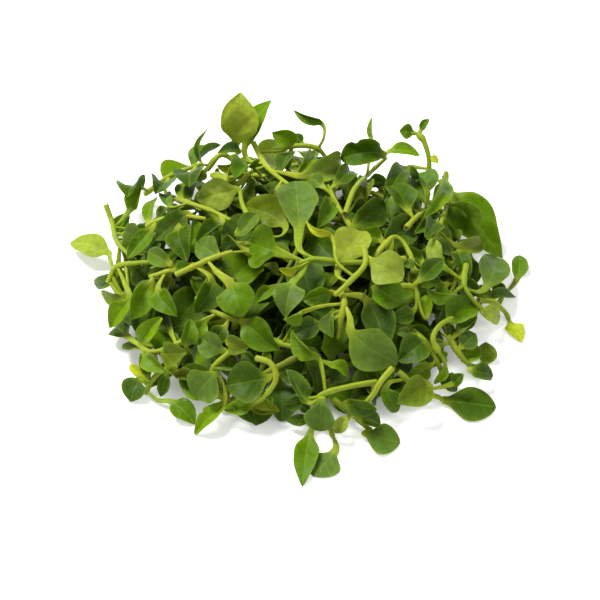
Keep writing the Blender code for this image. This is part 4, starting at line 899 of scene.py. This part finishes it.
# Finer leaves and stems
BIG_LEAF = 8.2
BIG_GRID = Grid(8, 26, 16)
SMALL_GRID = Grid(8, 18, 10)
YOUNG_GRID = Grid(4, 14, 8)
FINE_STEM_STEPS = 10
FINE_STEM_SIDES = 10
BLADE_HALF_THICKNESS = 0.17
MARGIN_HALF_THICKNESS = 0.07
MIDRIB_HALF_WIDTH = 0.55
MIDRIB_RISE = 0.3
MIDRIB_GROOVE = 0.08
PETIOLE_HALF_THICKNESS = 0.5
VEIN_SPACING = 3.4
VEIN_SLANT = 0.8
QUILTING = 0.09
NODE_SWELLING = 0.18
NODE_LENGTH = 1.6
PITH_RADIUS = 0.5
PITH_DEPTH = 0.35
PITH_CENTRE_RADIUS = 0.02
CUT_SHARE = 0.94
CUT_RINGS = 4
END_LENGTH = 0.4
END_SHARE = 0.6
RIDGES = 5
RIDGE_SHARE = 0.05
LOWEST = 0.02
SHARP_ANGLE = 70
STEM, UPPER_SIDE, UNDERSIDE = 0, 1, 2

# Where features set in: shares of the blade's length, and for quilting millimetres from the midrib
BLADE_ONSET = (-0.2, 0.2)
TONE_ONSET = (-0.15, 0.22)
MARGIN_ONSET = (0, 0.15)
SURFACE_ONSET = (0, 0.3)
QUILTING_ONSET = (0, 1.2)
MIDRIB_LOSS = 0.8

# Irregular margins and surfaces: waves along the blade, and their heights
MARGIN_WAVES = (3.0, 7.0, 13.0)
MARGIN_SHARES = (0.06, 0.042, 0.018)
SURFACE_WAVES = (0.35, 0.8, 1.3)
SURFACE_HEIGHTS = (0.7, 0.14, 0.05)
SURFACE_ACROSS = 1.2
SURFACE_FULL_WIDTH = 14
NIBBLED_SHARE = 0.1
NIBBLE_PLACES = (0.3, 0.85)
NIBBLE_DEPTHS = (0.08, 0.24)
NIBBLE_LENGTHS = (0.03, 0.06)

# Young leaves anywhere on the stems: the most on a sprig, tries, and what is drawn for each in millimetres
YOUNG_MOST = 5
YOUNG_TRIES = 14
YOUNG_PETIOLES = (2, 5)
YOUNG_LENGTHS = (6, 10.5)
YOUNG_WIDTHS = (3.6, 7.2)
YOUNG_LIFTS = (-3.5, 2.5)
YOUNG_TONES = ("bright", "mid", "mid", "grey", "teal", "olive")
YOUNG_REACH = 1.0
YOUNG_SEED = 5

# Small leaves that hide the floor from these viewers, given by azimuth and height in degrees: the step of
# the floor points tried, the share of the heap's base that they cover, and what is drawn for each leaf
VIEWERS = [(0, 45), (90, 45), (180, 45), (270, 45), (0, 80)]
FLOOR_STEP = 2.5
FLOOR_SHARE = 0.8
CLOSING_HEIGHTS = (3, 18)
CLOSING_LENGTHS = (9, 13)
CLOSING_WIDTHS = (7, 10)
CLOSING_ROOTS = (8, 28)
CLOSING_STEMS = 8
CLOSING_TRIES = 6
CLOSING_TONES = ("dark", "teal", "mid", "dark")
# Painted shade: every small leaf marked inner, closing and young ones alike, has its colour darkened by this
# factor, as shade inside the heap
SMALL_LEAF_PAINTED_SHADE = 0.7
CLOSING_SEED = 8

# Colours: red, green, blue
TONES = {
    "lime": (0.26, 0.33, 0.028),
    "bright": (0.12, 0.225, 0.001),
    "mid": (0.074, 0.158, 0.001),
    "grey": (0.082, 0.152, 0.017),
    "pale": (0.22, 0.3, 0.035),
    "teal": (0.042, 0.092, 0.008),
    "dark": (0.036, 0.086, 0.001),
    "olive": (0.105, 0.155, 0.003),
    "yellow": (0.36, 0.42, 0.012),
}
STEM_TONE = (0.34, 0.4, 0.03)
YOUNG_STEM_TONE = (0.2, 0.3, 0.012)
CUT_TONE = (0.25, 0.2, 0.08)
UNDERSIDE_TONE = (0.16, 0.25, 0.04)
# Painted highlight along the leaf margins: their colour is blended towards this lighter green, by the share
# and power below
MARGIN_HIGHLIGHT_TONE = (0.2, 0.3, 0.02)
MARGIN_SHARE = 0.35
MARGIN_HIGHLIGHT_POWER = 6
UNDERSIDE_SHARE = 0.4

# How far colours vary: lighter or darker, warmer or cooler, and how stems are between old and young
LIGHT_SPREAD = (-0.18, 0.2)
WARM_SPREAD = (-0.12, 0.16)
WARMTH = np.array([1, 0.3, -0.5])
HERO_SPREAD = 0.5
STEM_YOUTH = (0.1, 0.9)
# Painted shade: the stems of sprigs inside the heap, and the petioles that start from them, are darkened by
# this factor
INNER_STEM_PAINTED_SHADE = 0.6
SEED_STEP = 7


def blend(first, second, share):
    """A mix of two colours, or of two rows of colours, by share of the second."""
    first, second = np.array(first, float), np.array(second, float)
    return first + (second - first) * np.asarray(share, float)[..., None]


def smooth_step(low, high, x):
    t = np.clip((x - low) / (high - low), 0, 1)
    return t * t * (3 - 2 * t)


class Skin:
    """The vertices, faces, colours and places on the leaf of all that makes up one sprig."""

    def __init__(self):
        self.vertices, self.tones, self.places, self.faces = [], [], [], []
        self.count = 0

    def add(self, vertices, tones, places, faces):
        self.vertices.append(vertices)
        self.tones.append(tones)
        self.places.append(places)
        self.faces += [tuple(index + self.count for index in face) for face in faces]
        self.count += len(vertices)


def uneven_margin(x, u, draw):
    """How far each point lies out from the midrib, as a share of an even leaf's, for margins with waves."""
    share = np.ones(np.broadcast(x, u).shape)
    for waves, height in zip(MARGIN_WAVES, MARGIN_SHARES):
        left, right = draw.uniform(0, 2 * math.pi), draw.uniform(0, 2 * math.pi)
        share += height * np.sin(waves * x + np.where(u < 0, left, right))
    if draw.random() < NIBBLED_SHARE:
        side = draw.choice((-1, 1))
        at = draw.uniform(*NIBBLE_PLACES)
        length = draw.uniform(*NIBBLE_LENGTHS)
        depth = draw.uniform(*NIBBLE_DEPTHS)
        share -= depth * np.exp(-(((x - at) / length) ** 2)) * (u * side > 0)
    return 1 + (share - 1) * smooth_step(*MARGIN_ONSET, x)


def uneven_surface(along, across, draw):
    """Gentle waves in the blade, in millimetres."""
    wave = np.zeros(np.broadcast(along, across).shape)
    for waves, height in zip(SURFACE_WAVES, SURFACE_HEIGHTS):
        phase, other = draw.uniform(0, 2 * math.pi), draw.uniform(0, 2 * math.pi)
        wave += height * np.sin(waves * along + phase) * np.sin(waves * SURFACE_ACROSS * across + other)
    return wave


def fine_leaf(skin, pose, place, tone, stem_tone, grid, draw):
    """Adds one leaf: a thin blade with a midrib and quilting between its veins, and a round petiole."""
    leaf = pose.leaf
    points, normals, _ = leaf_surface(pose, place, grid)
    rows, columns = points.shape[0], points.shape[1]
    x = ((np.arange(rows) - grid.petiole_rows) / grid.blade_rows)[:, None]
    u = np.linspace(-1, 1, columns)[None]
    half_width = blade_outline(x[:, 0], leaf.width, leaf.peak)[:, None]
    across = half_width * u
    length = np.linalg.norm(points[-1, 0] - points[grid.petiole_rows, columns // 2])
    along = x * length + 0 * u
    on_blade = smooth_step(*BLADE_ONSET, x)
    spine = points[:, columns // 2][:, None]
    if leaf.fold > 0:
        points = spine + (points - spine) * uneven_margin(x, u, draw)[..., None]
        relief = uneven_surface(along, across, draw) * smooth_step(*SURFACE_ONSET, x)
        relief *= min(leaf.width / SURFACE_FULL_WIDTH, 1)
        points = points + normals * relief[..., None]

    edge = np.sqrt(np.clip(1 - u**2, 0, 1))
    blade = MARGIN_HALF_THICKNESS + (BLADE_HALF_THICKNESS - MARGIN_HALF_THICKNESS) * edge
    petiole = MARGIN_HALF_THICKNESS + (PETIOLE_HALF_THICKNESS - MARGIN_HALF_THICKNESS) * edge
    midrib = np.exp(-((across / MIDRIB_HALF_WIDTH) ** 2)) * (1 - MIDRIB_LOSS * np.clip(x, 0, 1)) * on_blade
    body = petiole * (1 - on_blade) + blade * on_blade
    vein = (along - VEIN_SLANT * np.abs(across)) / VEIN_SPACING
    quilt = QUILTING * np.cos(2 * math.pi * vein) * on_blade * edge
    quilt *= smooth_step(*QUILTING_ONSET, np.abs(across))
    over = body - MIDRIB_GROOVE * midrib - quilt
    under = body + MIDRIB_RISE * midrib + quilt
    top = points + normals * over[..., None]
    bottom = points - normals * under[..., None]
    set_on_floor(top, bottom)

    shade = blend(stem_tone, tone, smooth_step(*TONE_ONSET, x) + 0 * u)
    # Painted highlight: a light band along the margins of the blade
    shade = blend(shade, MARGIN_HIGHLIGHT_TONE, MARGIN_SHARE * np.abs(u) ** MARGIN_HIGHLIGHT_POWER * on_blade)
    below = blend(shade, UNDERSIDE_TONE, UNDERSIDE_SHARE * on_blade + 0 * u)
    places = [np.stack([along, across, side + 0 * across], axis=2) for side in (UPPER_SIDE, UNDERSIDE)]
    values = [both_faces(*pair) for pair in ((top, bottom), (shade, below), places)]
    skin.add(*values, leaf_faces(rows, columns))


def both_faces(over, under):
    """The values at a leaf's vertices: row by row on one face, then on the other, then at the two tips."""
    faces = [values[:-1].reshape(-1, values.shape[2]) for values in (over, under)]
    tips = [values[-1, values.shape[1] // 2][None] for values in (over, under)]
    return np.concatenate(faces + tips)


def leaf_faces(rows, m):
    """The faces of a leaf with m vertices to a row, whose last row is one point on either face."""
    last = rows - 1
    down = last * m
    tip, tip_below = 2 * down, 2 * down + 1
    faces = []
    for i in range(last):
        for j in range(m - 1):
            a, b = i * m + j, i * m + j + 1
            if i == last - 1:
                faces += [(a, b, tip), (b + down, a + down, tip_below)]
            else:
                faces += [(a, b, b + m, a + m), (b + down, a + down, a + m + down, b + m + down)]
        left, right = i * m, i * m + m - 1
        left_ahead, left_below = (tip, tip_below) if i == last - 1 else (left + m, left + m + down)
        right_ahead, right_below = (tip, tip_below) if i == last - 1 else (right + m, right + m + down)
        faces.append((left, left_ahead, left_below, left + down))
        faces.append((right + down, right_below, right_ahead, right))
    faces.append(tuple(range(down, down + m)) + tuple(range(m - 1, -1, -1)))
    return faces


def fine_stem(skin, sprig, shift, tones):
    """Adds the stem: round, swollen where a leaf grows, with a hollow pith at the cut end."""
    line = stem_line(sprig, shift, FINE_STEM_STEPS)
    steps = np.concatenate([[0], np.cumsum(np.linalg.norm(np.diff(line, axis=0), axis=1))])
    radii = np.interp(steps, [0, steps[-1]], [STEM_RADIUS, STEM_END_RADIUS])
    for one in sprig.leaves:
        radii *= 1 + NODE_SWELLING * np.exp(-(((steps - one.at * steps[-1]) / NODE_LENGTH) ** 2))
    tangents = tangents_of(line)
    current = square_to(tangents[0])
    angles = 2 * math.pi * np.arange(FINE_STEM_SIDES) / FINE_STEM_SIDES
    pith_end = line[0] + PITH_DEPTH * tangents[0]
    rings = [(pith_end, PITH_CENTRE_RADIUS, 0), (pith_end, PITH_RADIUS, 0)]
    rings += [(line[0], PITH_RADIUS, 0), (line[0], radii[0] * CUT_SHARE, 0)]
    rings += [(line[i], radii[i], i) for i in range(len(line))]
    rings += [(line[-1] + END_LENGTH * tangents[-1], radii[-1] * END_SHARE, len(line) - 1)]
    ridges = 1 + RIDGE_SHARE * np.cos(RIDGES * angles)
    vertices, colours, places = [], [], []
    for k, (centre, radius, i) in enumerate(rings):
        current = unit(current - tangents[i] * (current @ tangents[i]))
        other = np.cross(tangents[i], current)
        for angle, swell in zip(angles, ridges):
            spoke = current * math.cos(angle) + other * math.sin(angle)
            vertices.append(centre + radius * swell * spoke)
            places.append((steps[i], radius * angle, STEM))
        tone = CUT_TONE if k < CUT_RINGS else blend(tones[0], tones[1], steps[i] / steps[-1])
        colours += [tone] * FINE_STEM_SIDES
    vertices = np.array(vertices)
    vertices[:, 2] = np.maximum(vertices[:, 2], LOWEST)
    n = FINE_STEM_SIDES
    faces = [tuple(range(n - 1, -1, -1))]
    for i in range(len(rings) - 1):
        for k in range(n):
            a, b = i * n + k, i * n + (k + 1) % n
            faces.append((a, b, b + n, a + n))
    last = (len(rings) - 1) * n
    faces.append(tuple(range(last, last + n)))
    skin.add(vertices, np.array(colours), np.array(places), faces)


def grid_for(leaf):
    return BIG_GRID if leaf.width >= BIG_LEAF and not leaf.inner else SMALL_GRID


def room_for(surface, one, others, own):
    """Whether a small leaf is clear of the other sprigs, and its blade of its own sprig."""
    if surface[0][..., 2].min() < 0:
        return False
    if not others.is_clear(plate(*surface, solid_rows(one), SOLID_COLUMNS, GAP)):
        return False
    return own.is_clear(plate(*surface, BLADE_ONLY_ROWS, SOLID_COLUMNS, GAP))


def add_young_leaves(grown, spaces, found):
    """Adds young leaves to each sprig's list, as pose and place."""
    draw = random.Random(YOUNG_SEED)
    for k, (sprig, shift, _, _) in enumerate(grown):
        others = space_without(spaces[k], spaces)
        line = stem_line(sprig, shift, FINE_STEM_STEPS)
        count = 0
        for _ in range(YOUNG_TRIES):
            sizes = (YOUNG_PETIOLES, YOUNG_LENGTHS, YOUNG_WIDTHS, YOUNG_LIFTS)
            one = leaf_from_stem(sprig, draw, *sizes, YOUNG_TONES)
            pose = Pose(one, line[round(one.at * (len(line) - 1))], shift, 0, draw.randrange(ALL_SEEDS))
            surface = leaf_surface(pose, sprig.place, GRID)
            middle = surface[0][GRID.petiole_rows + GRID.blade_rows // 2, GRID.columns // 2]
            if count == YOUNG_MOST or np.linalg.norm((middle - HEAP_CENTRE) / HEAP_RADII) > YOUNG_REACH:
                continue
            if room_for(surface, one, others, spaces[k]):
                found[k].append((pose, sprig.place))
                spaces[k].add(plate(*surface, solid_rows(one), SOLID_COLUMNS))
                count += 1


def in_space(x, y, z):
    """A place given by its own coordinates."""
    return np.array([x, y, z])


def floor_points(draw):
    """Points of the floor under the heap, in any order."""
    reach = HEAP_RADII[:2] * FLOOR_SHARE
    xs, ys = (np.arange(-size, size, FLOOR_STEP) for size in reach)
    points = [np.array([x, y, 0.0]) for x in xs for y in ys if (x / reach[0]) ** 2 + (y / reach[1]) ** 2 < 1]
    draw.shuffle(points)
    return [point + HEAP_CENTRE * [1, 1, 0] for point in points]


def merged(solids):
    """One tree of all these solids, for sight lines."""
    vertices, faces = [], []
    for points, triangles in solids:
        faces += [[index + len(vertices) for index in face] for face in triangles]
        vertices += points.tolist()
    return BVHTree.FromPolygons(vertices, faces)


def leaf_towards(target, root, draw):
    """A small leaf that grows from root and has its middle at target."""
    reach = unit(target - root) * draw.uniform(*CLOSING_LENGTHS) / 2
    return leaf(
        0,
        target - reach,
        target + reach,
        draw.uniform(*CLOSING_WIDTHS),
        draw.choice(CLOSING_TONES),
        roll=draw.uniform(*LEAF_ROLLS),
        fold=draw.uniform(*LEAF_FOLDS),
        arch=draw.uniform(*LEAF_ARCHES),
        inner=True,
    )


def close_sight(point, way, roots, spaces, draw):
    """The sprig's number, pose and surface of a leaf that hides the floor point from the viewer, or None."""
    places = np.array([root for _, root in roots])
    for _ in range(CLOSING_TRIES):
        target = point + way * draw.uniform(*CLOSING_HEIGHTS) / way[2]
        if np.linalg.norm((target - HEAP_CENTRE) / HEAP_RADII) > GAP_REACH:
            continue
        distances = np.linalg.norm(places - target, axis=1)
        order = np.argsort(distances)
        order = order[(distances[order] > CLOSING_ROOTS[0]) & (distances[order] < CLOSING_ROOTS[1])]
        near = order[:CLOSING_STEMS].tolist()
        if not near:
            continue
        k, root = roots[draw.choice(near)]
        one = leaf_towards(target, root, draw)
        pose = Pose(one, root, 0, 0, draw.randrange(ALL_SEEDS))
        surface = leaf_surface(pose, in_space, GRID)
        if room_for(surface, one, space_without(spaces[k], spaces), spaces[k]):
            return k, pose, surface
    return None


def add_closing_leaves(grown, spaces, found):
    """Adds leaves that hide the floor under the heap to the sprigs' lists, as pose and place."""
    draw = random.Random(CLOSING_SEED)
    roots = []
    for k, (sprig, shift, _, _) in enumerate(grown):
        roots += [(k, root) for root in stem_line(sprig, shift, FINE_STEM_STEPS)[1:-1]]
    solids = [solid for *_, own in grown for solid in own]
    for azimuth, height in VIEWERS:
        turn, tilt = math.radians(azimuth), math.radians(height)
        out = np.array([math.sin(turn) * math.cos(tilt), -math.cos(turn) * math.cos(tilt), math.sin(tilt)])
        eye = out * VIEW_DISTANCE
        trees = [merged(solids)]
        for point in floor_points(draw):
            way = unit(eye - point)
            if any(tree.ray_cast(point.tolist(), way.tolist())[0] for tree in trees):
                continue
            placed = close_sight(point, way, roots, spaces, draw)
            if placed:
                k, pose, surface = placed
                found[k].append((pose, in_space))
                solids.append(plate(*surface, solid_rows(pose.leaf), SOLID_COLUMNS))
                spaces[k].add(solids[-1])
                trees.append(spaces[k].kept[-1][-1])


def small_leaves(grown):
    """For each sprig, the small leaves that its solid is too coarse to hold, as pose and place."""
    spaces = [space_of(solids) for *_, solids in grown]
    found = [[] for _ in grown]
    add_closing_leaves(grown, spaces, found)
    add_young_leaves(grown, spaces, found)
    return found


def varied(tone, draw, spread):
    """The tone a little lighter or darker, and a little yellower or bluer."""
    light = 1 + draw.uniform(*LIGHT_SPREAD) * spread
    warm = draw.uniform(*WARM_SPREAD) * spread
    return np.array(tone) * light * (1 + warm * WARMTH)


def sprig_skin(sprig, shift, poses, small_ones, seed):
    """The whole sprig: its stem, its own leaves and the small ones."""
    draw = random.Random(seed)
    skin = Skin()
    young = draw.uniform(*STEM_YOUTH)
    stem_tones = [blend(STEM_TONE, YOUNG_STEM_TONE, share) for share in (young / 2, young)]
    # Painted shade: a sprig inside the heap gets darker stem tones
    if sprig.leaves[0].inner:
        stem_tones = [INNER_STEM_PAINTED_SHADE * tone for tone in stem_tones]
    fine_stem(skin, sprig, shift, stem_tones)
    spread = HERO_SPREAD if sprig.place is seen else 1
    for pose in poses:
        tone = varied(TONES[pose.leaf.tone], draw, spread)
        fine_leaf(skin, pose, sprig.place, tone, stem_tones[1], grid_for(pose.leaf), draw)
    for pose, place in small_ones:
        # Painted shade: small leaves inside the heap are darkened
        tone = varied(TONES[pose.leaf.tone], draw, 1) * (SMALL_LEAF_PAINTED_SHADE if pose.leaf.inner else 1)
        fine_leaf(skin, pose, place, tone, stem_tones[1], YOUNG_GRID, draw)
    return skin


def skin_object(name, skin, middle):
    vertices = (np.concatenate(skin.vertices) - middle) * MM
    vertices = np.clip(vertices, np.array(CAD_BOX[0]), np.array(CAD_BOX[1]))
    mesh = bpy.data.meshes.new(name)
    mesh.from_pydata(vertices.tolist(), [], skin.faces)
    tones = np.concatenate(skin.tones)
    tone = mesh.attributes.new("tone", "FLOAT_COLOR", "POINT")
    tone.data.foreach_set("color", np.column_stack([tones, np.ones(len(tones))]).astype(np.float32).ravel())
    place = mesh.attributes.new("leaf_place", "FLOAT_VECTOR", "POINT")
    place.data.foreach_set("vector", np.concatenate(skin.places).astype(np.float32).ravel())
    mesh.shade_smooth()
    mesh.set_sharp_from_angle(angle=math.radians(SHARP_ANGLE))
    item = bpy.data.objects.new(name, mesh)
    bpy.context.scene.collection.objects.link(item)
    return item


class Nodes:
    """Short calls for the nodes of one material."""

    def __init__(self, material):
        material.use_nodes = True
        self.tree = material.node_tree
        self.shader = self.tree.nodes["Principled BSDF"]

    def new(self, kind, **settings):
        node = self.tree.nodes.new(kind)
        for name, value in settings.items():
            setattr(node, name, value)
        return node

    def feed(self, socket, value):
        if isinstance(value, bpy.types.NodeSocket):
            self.tree.links.new(value, socket)
        else:
            socket.default_value = value

    def math(self, operation, *values):
        node = self.new("ShaderNodeMath", operation=operation)
        for socket, value in zip(node.inputs, values):
            self.feed(socket, value)
        return node.outputs[0]

    def mix(self, share, first, second, blend_type="MIX"):
        node = self.new("ShaderNodeMix", data_type="RGBA", blend_type=blend_type)
        self.feed(node.inputs[0], share)
        self.feed(node.inputs[6], first)
        self.feed(node.inputs[7], second)
        return node.outputs[2]

    def ramp(self, value, from_low, from_high, to_low=0.0, to_high=1.0):
        node = self.new("ShaderNodeMapRange", interpolation_type="SMOOTHSTEP")
        for socket, number in zip(node.inputs, (value, from_low, from_high, to_low, to_high)):
            self.feed(socket, number)
        return node.outputs[0]

    def noise(self, vector, scale, detail=3.0, roughness=0.5):
        node = self.new("ShaderNodeTexNoise")
        self.feed(node.inputs["Vector"], vector)
        for name, number in (("Scale", scale), ("Detail", detail), ("Roughness", roughness)):
            self.feed(node.inputs[name], number)
        return node.outputs["Fac"]


# Skin of the plant: scale, detail and roughness of each noise, per metre of the heap or millimetre of a leaf
MOTTLE_NOISE = (420.0, 4.0, 0.6)
PATCH_NOISE = (90.0, 2.0)
SHINE_NOISE = (160.0, 2.0)
GRAIN_NOISE = (1400.0, 2.0)
WAVER_NOISE = (0.6, 2.0)
STREAK_NOISE = (2.2, 3.0)
STREAK_STRETCH = (0.15, 3.0, 1.0)
NOISE_SPAN = (0.3, 0.7)
PATCH_SPAN = (0.35, 0.7)
STREAK_SPAN = (0.35, 0.65)
MOTTLE_RANGE = (0.86, 1.14)
STREAK_RANGE = (0.86, 1.12)
SHINE_RANGE = (0.4, 0.56)

# Veins: where each fades out in millimetres from its middle, and how strongly it shows
MIDRIB_EDGE = (0.12, 0.42)
LATERAL_EDGE = (0.06, 0.26)
LATERAL_STRENGTH = 0.55
LATERAL_WAVER = 1.3
NET_SCALE = 1.1
NET_EDGE = (0.02, 0.12)
NET_STRENGTH = 0.22
VEIN_START = (-1.0, 1.5)
VEIN_STRENGTH = 0.5
VEIN_FACTORS = (1.6, 1.5, 1.5, 1.0)
VEIN_TINT = (0.24, 0.33, 0.03, 1.0)
VEIN_TINT_SHARE = 0.45
VEIN_ROUGHNESS = 0.08
VEIN_DEPTH = 0.6
WARM_FACTORS = (1.35, 1.08, 0.7, 1.0)
WARM_SHARE = 0.22
GRAIN_HEIGHT = 0.25
BUMP_STRENGTH = 0.45
BUMP_DEPTH = 0.15
IOR = 1.42
SPECULAR = 0.16
SUBSURFACE = 0.2
SUBSURFACE_RADII = (0.9, 1.2, 0.15)
ON_LEAF = 0.5
WHITE = (1.0, 1.0, 1.0, 1.0)


def watercress_material():
    """Leaf and stem skin: the tone of each leaf, with its veins, mottling and a satin shine."""
    material = bpy.data.materials.new("watercress")
    n = Nodes(material)
    tone = n.new("ShaderNodeAttribute", attribute_name="tone").outputs["Color"]
    where = n.new("ShaderNodeAttribute", attribute_name="leaf_place").outputs["Vector"]
    parts = n.new("ShaderNodeSeparateXYZ")
    n.feed(parts.inputs[0], where)
    along, across, kind = parts.outputs
    spot = n.new("ShaderNodeTexCoord").outputs["Object"]
    on_leaf = n.math("GREATER_THAN", kind, ON_LEAF)

    away = n.math("ABSOLUTE", across)
    midrib = n.ramp(away, *MIDRIB_EDGE, 1.0, 0.0)
    waver = n.math("MULTIPLY", n.noise(where, *WAVER_NOISE), LATERAL_WAVER)
    slanted = n.math("SUBTRACT", along, n.math("MULTIPLY", away, VEIN_SLANT))
    wave = n.math("PINGPONG", n.math("ADD", slanted, waver), VEIN_SPACING / 2)
    laterals = n.ramp(wave, *LATERAL_EDGE, 1.0, 0.0)
    cells = n.new("ShaderNodeTexVoronoi", feature="DISTANCE_TO_EDGE")
    n.feed(cells.inputs["Vector"], where)
    n.feed(cells.inputs["Scale"], NET_SCALE)
    net = n.ramp(cells.outputs["Distance"], *NET_EDGE, 1.0, 0.0)
    veins = n.math("MAXIMUM", midrib, n.math("MULTIPLY", laterals, LATERAL_STRENGTH))
    veins = n.math("MAXIMUM", veins, n.math("MULTIPLY", net, NET_STRENGTH))
    blade = n.math("MULTIPLY", n.ramp(along, *VEIN_START), on_leaf)
    veins = n.math("MULTIPLY", veins, blade)

    mottle = n.ramp(n.noise(spot, *MOTTLE_NOISE), *NOISE_SPAN, *MOTTLE_RANGE)
    patches = n.ramp(n.noise(spot, *PATCH_NOISE), *PATCH_SPAN)
    warmer = n.mix(1.0, tone, WARM_FACTORS, "MULTIPLY")
    warm = n.mix(n.math("MULTIPLY", patches, WARM_SHARE), tone, warmer)
    grain = n.mix(1.0, warm, n.mix(0.0, mottle, WHITE), "MULTIPLY")
    vein_tone = n.mix(VEIN_TINT_SHARE, n.mix(1.0, grain, VEIN_FACTORS, "MULTIPLY"), VEIN_TINT)
    colour = n.mix(n.math("MULTIPLY", veins, VEIN_STRENGTH), grain, vein_tone)

    streak = n.new("ShaderNodeMapping")
    n.feed(streak.inputs["Vector"], where)
    streak.inputs["Scale"].default_value = STREAK_STRETCH
    streaks = n.ramp(n.noise(streak.outputs[0], *STREAK_NOISE), *STREAK_SPAN, *STREAK_RANGE)
    stem = n.mix(1.0, tone, n.mix(0.0, streaks, WHITE), "MULTIPLY")
    colour = n.mix(on_leaf, stem, colour)
    n.feed(n.shader.inputs["Base Color"], colour)

    shine = n.ramp(n.noise(spot, *SHINE_NOISE), *NOISE_SPAN, *SHINE_RANGE)
    n.feed(n.shader.inputs["Roughness"], n.math("ADD", shine, n.math("MULTIPLY", veins, VEIN_ROUGHNESS)))
    n.shader.inputs["IOR"].default_value = IOR
    n.shader.inputs["Specular IOR Level"].default_value = SPECULAR
    n.shader.inputs["Subsurface Weight"].default_value = SUBSURFACE
    n.shader.inputs["Subsurface Radius"].default_value = SUBSURFACE_RADII
    n.shader.inputs["Subsurface Scale"].default_value = MM

    bump = n.new("ShaderNodeBump")
    grainy = n.math("MULTIPLY", n.noise(spot, *GRAIN_NOISE), GRAIN_HEIGHT)
    n.feed(bump.inputs["Height"], n.math("SUBTRACT", grainy, n.math("MULTIPLY", veins, VEIN_DEPTH)))
    bump.inputs["Strength"].default_value = BUMP_STRENGTH
    bump.inputs["Distance"].default_value = BUMP_DEPTH * MM
    n.feed(n.shader.inputs["Normal"], bump.outputs[0])
    return material


# Floor, camera and light, in metres and watts: each lamp's name, place, width and power
FLOOR_SIZE = 6.0
FLOOR_DROP = -0.0002
FLOOR_TONES = ((0.9, 0.9, 0.9, 1), (0.92, 0.92, 0.92, 1))
FLOOR_NOISE = (30.0, 3.0)
FLOOR_ROUGHNESS = 0.8
FLOOR_GLOW = 0.42
GLOW_RADII = (0.045, 0.08)
LENS = 100.0
SENSOR = 36.0
WORLD_LIGHT = 0.3
LAMPS = [("key", (-0.42, 0.3, 0.9), 0.45, 14.6), ("fill", (0.5, -0.5, 0.7), 0.8, 2.6)]


def floor_material():
    """Plain white surface, very faintly uneven, that glows a little all round the heap."""
    material = bpy.data.materials.new("white_surface")
    n = Nodes(material)
    spot = n.new("ShaderNodeTexCoord").outputs["Object"]
    cloud = n.ramp(n.noise(spot, *FLOOR_NOISE), *NOISE_SPAN)
    n.feed(n.shader.inputs["Base Color"], n.mix(cloud, *FLOOR_TONES))
    n.shader.inputs["Roughness"].default_value = FLOOR_ROUGHNESS
    n.shader.inputs["Emission Color"].default_value = WHITE
    around = n.new("ShaderNodeVectorMath", operation="LENGTH")
    n.feed(around.inputs[0], spot)
    glow = n.ramp(around.outputs["Value"], *GLOW_RADII, 0.0, FLOOR_GLOW)
    n.feed(n.shader.inputs["Emission Strength"], glow)
    return material


def add_camera(middle):
    camera = bpy.data.cameras.new("camera")
    camera.lens = LENS
    camera.sensor_width = SENSOR
    item = bpy.data.objects.new("camera", camera)
    target = Vector(-middle * MM)
    item.location = target + Vector(EYE * MM)
    item.rotation_euler = Vector(-TO_VIEWER).to_track_quat("-Z", "Y").to_euler()
    bpy.context.scene.collection.objects.link(item)
    bpy.context.scene.camera = item


def add_light(name, location, size, power):
    light = bpy.data.lights.new(name, "AREA")
    light.shape = "DISK"
    light.size = size
    light.energy = power
    item = bpy.data.objects.new(name, light)
    item.location = location
    item.rotation_euler = (-Vector(location)).to_track_quat("-Z", "Y").to_euler()
    bpy.context.scene.collection.objects.link(item)


def add_stage():
    mesh = bpy.data.meshes.new("floor")
    half = FLOOR_SIZE / 2
    corners = [(x * half, y * half, FLOOR_DROP) for x, y in ((-1, -1), (1, -1), (1, 1), (-1, 1))]
    mesh.from_pydata(corners, [], [(0, 1, 2, 3)])
    mesh.materials.append(floor_material())
    item = bpy.data.objects.new("floor", mesh)
    bpy.context.scene.collection.objects.link(item)
    world = bpy.data.worlds.new("studio")
    world.use_nodes = True
    background = world.node_tree.nodes["Background"]
    background.inputs["Color"].default_value = WHITE
    background.inputs["Strength"].default_value = WORLD_LIGHT
    bpy.context.scene.world = world
    for lamp in LAMPS:
        add_light(*lamp)
    bpy.context.scene.view_settings.view_transform = "Standard"


def dress():
    """Replaces every solid sprig by its finer one, and adds the floor, camera and light."""
    grown = grow_heap()
    middle = heap_middle(grown)
    material = watercress_material()
    small_ones = small_leaves(grown)
    for k, (sprig, shift, poses, _) in enumerate(grown):
        skin = sprig_skin(sprig, shift, poses, small_ones[k], SEED_STEP * k)
        item = skin_object(sprig.name + "_fine", skin, middle)
        item.data.materials.append(material)
        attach(item, "root")
        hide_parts(sprig.name)
    add_stage()
    add_camera(middle)


dress()
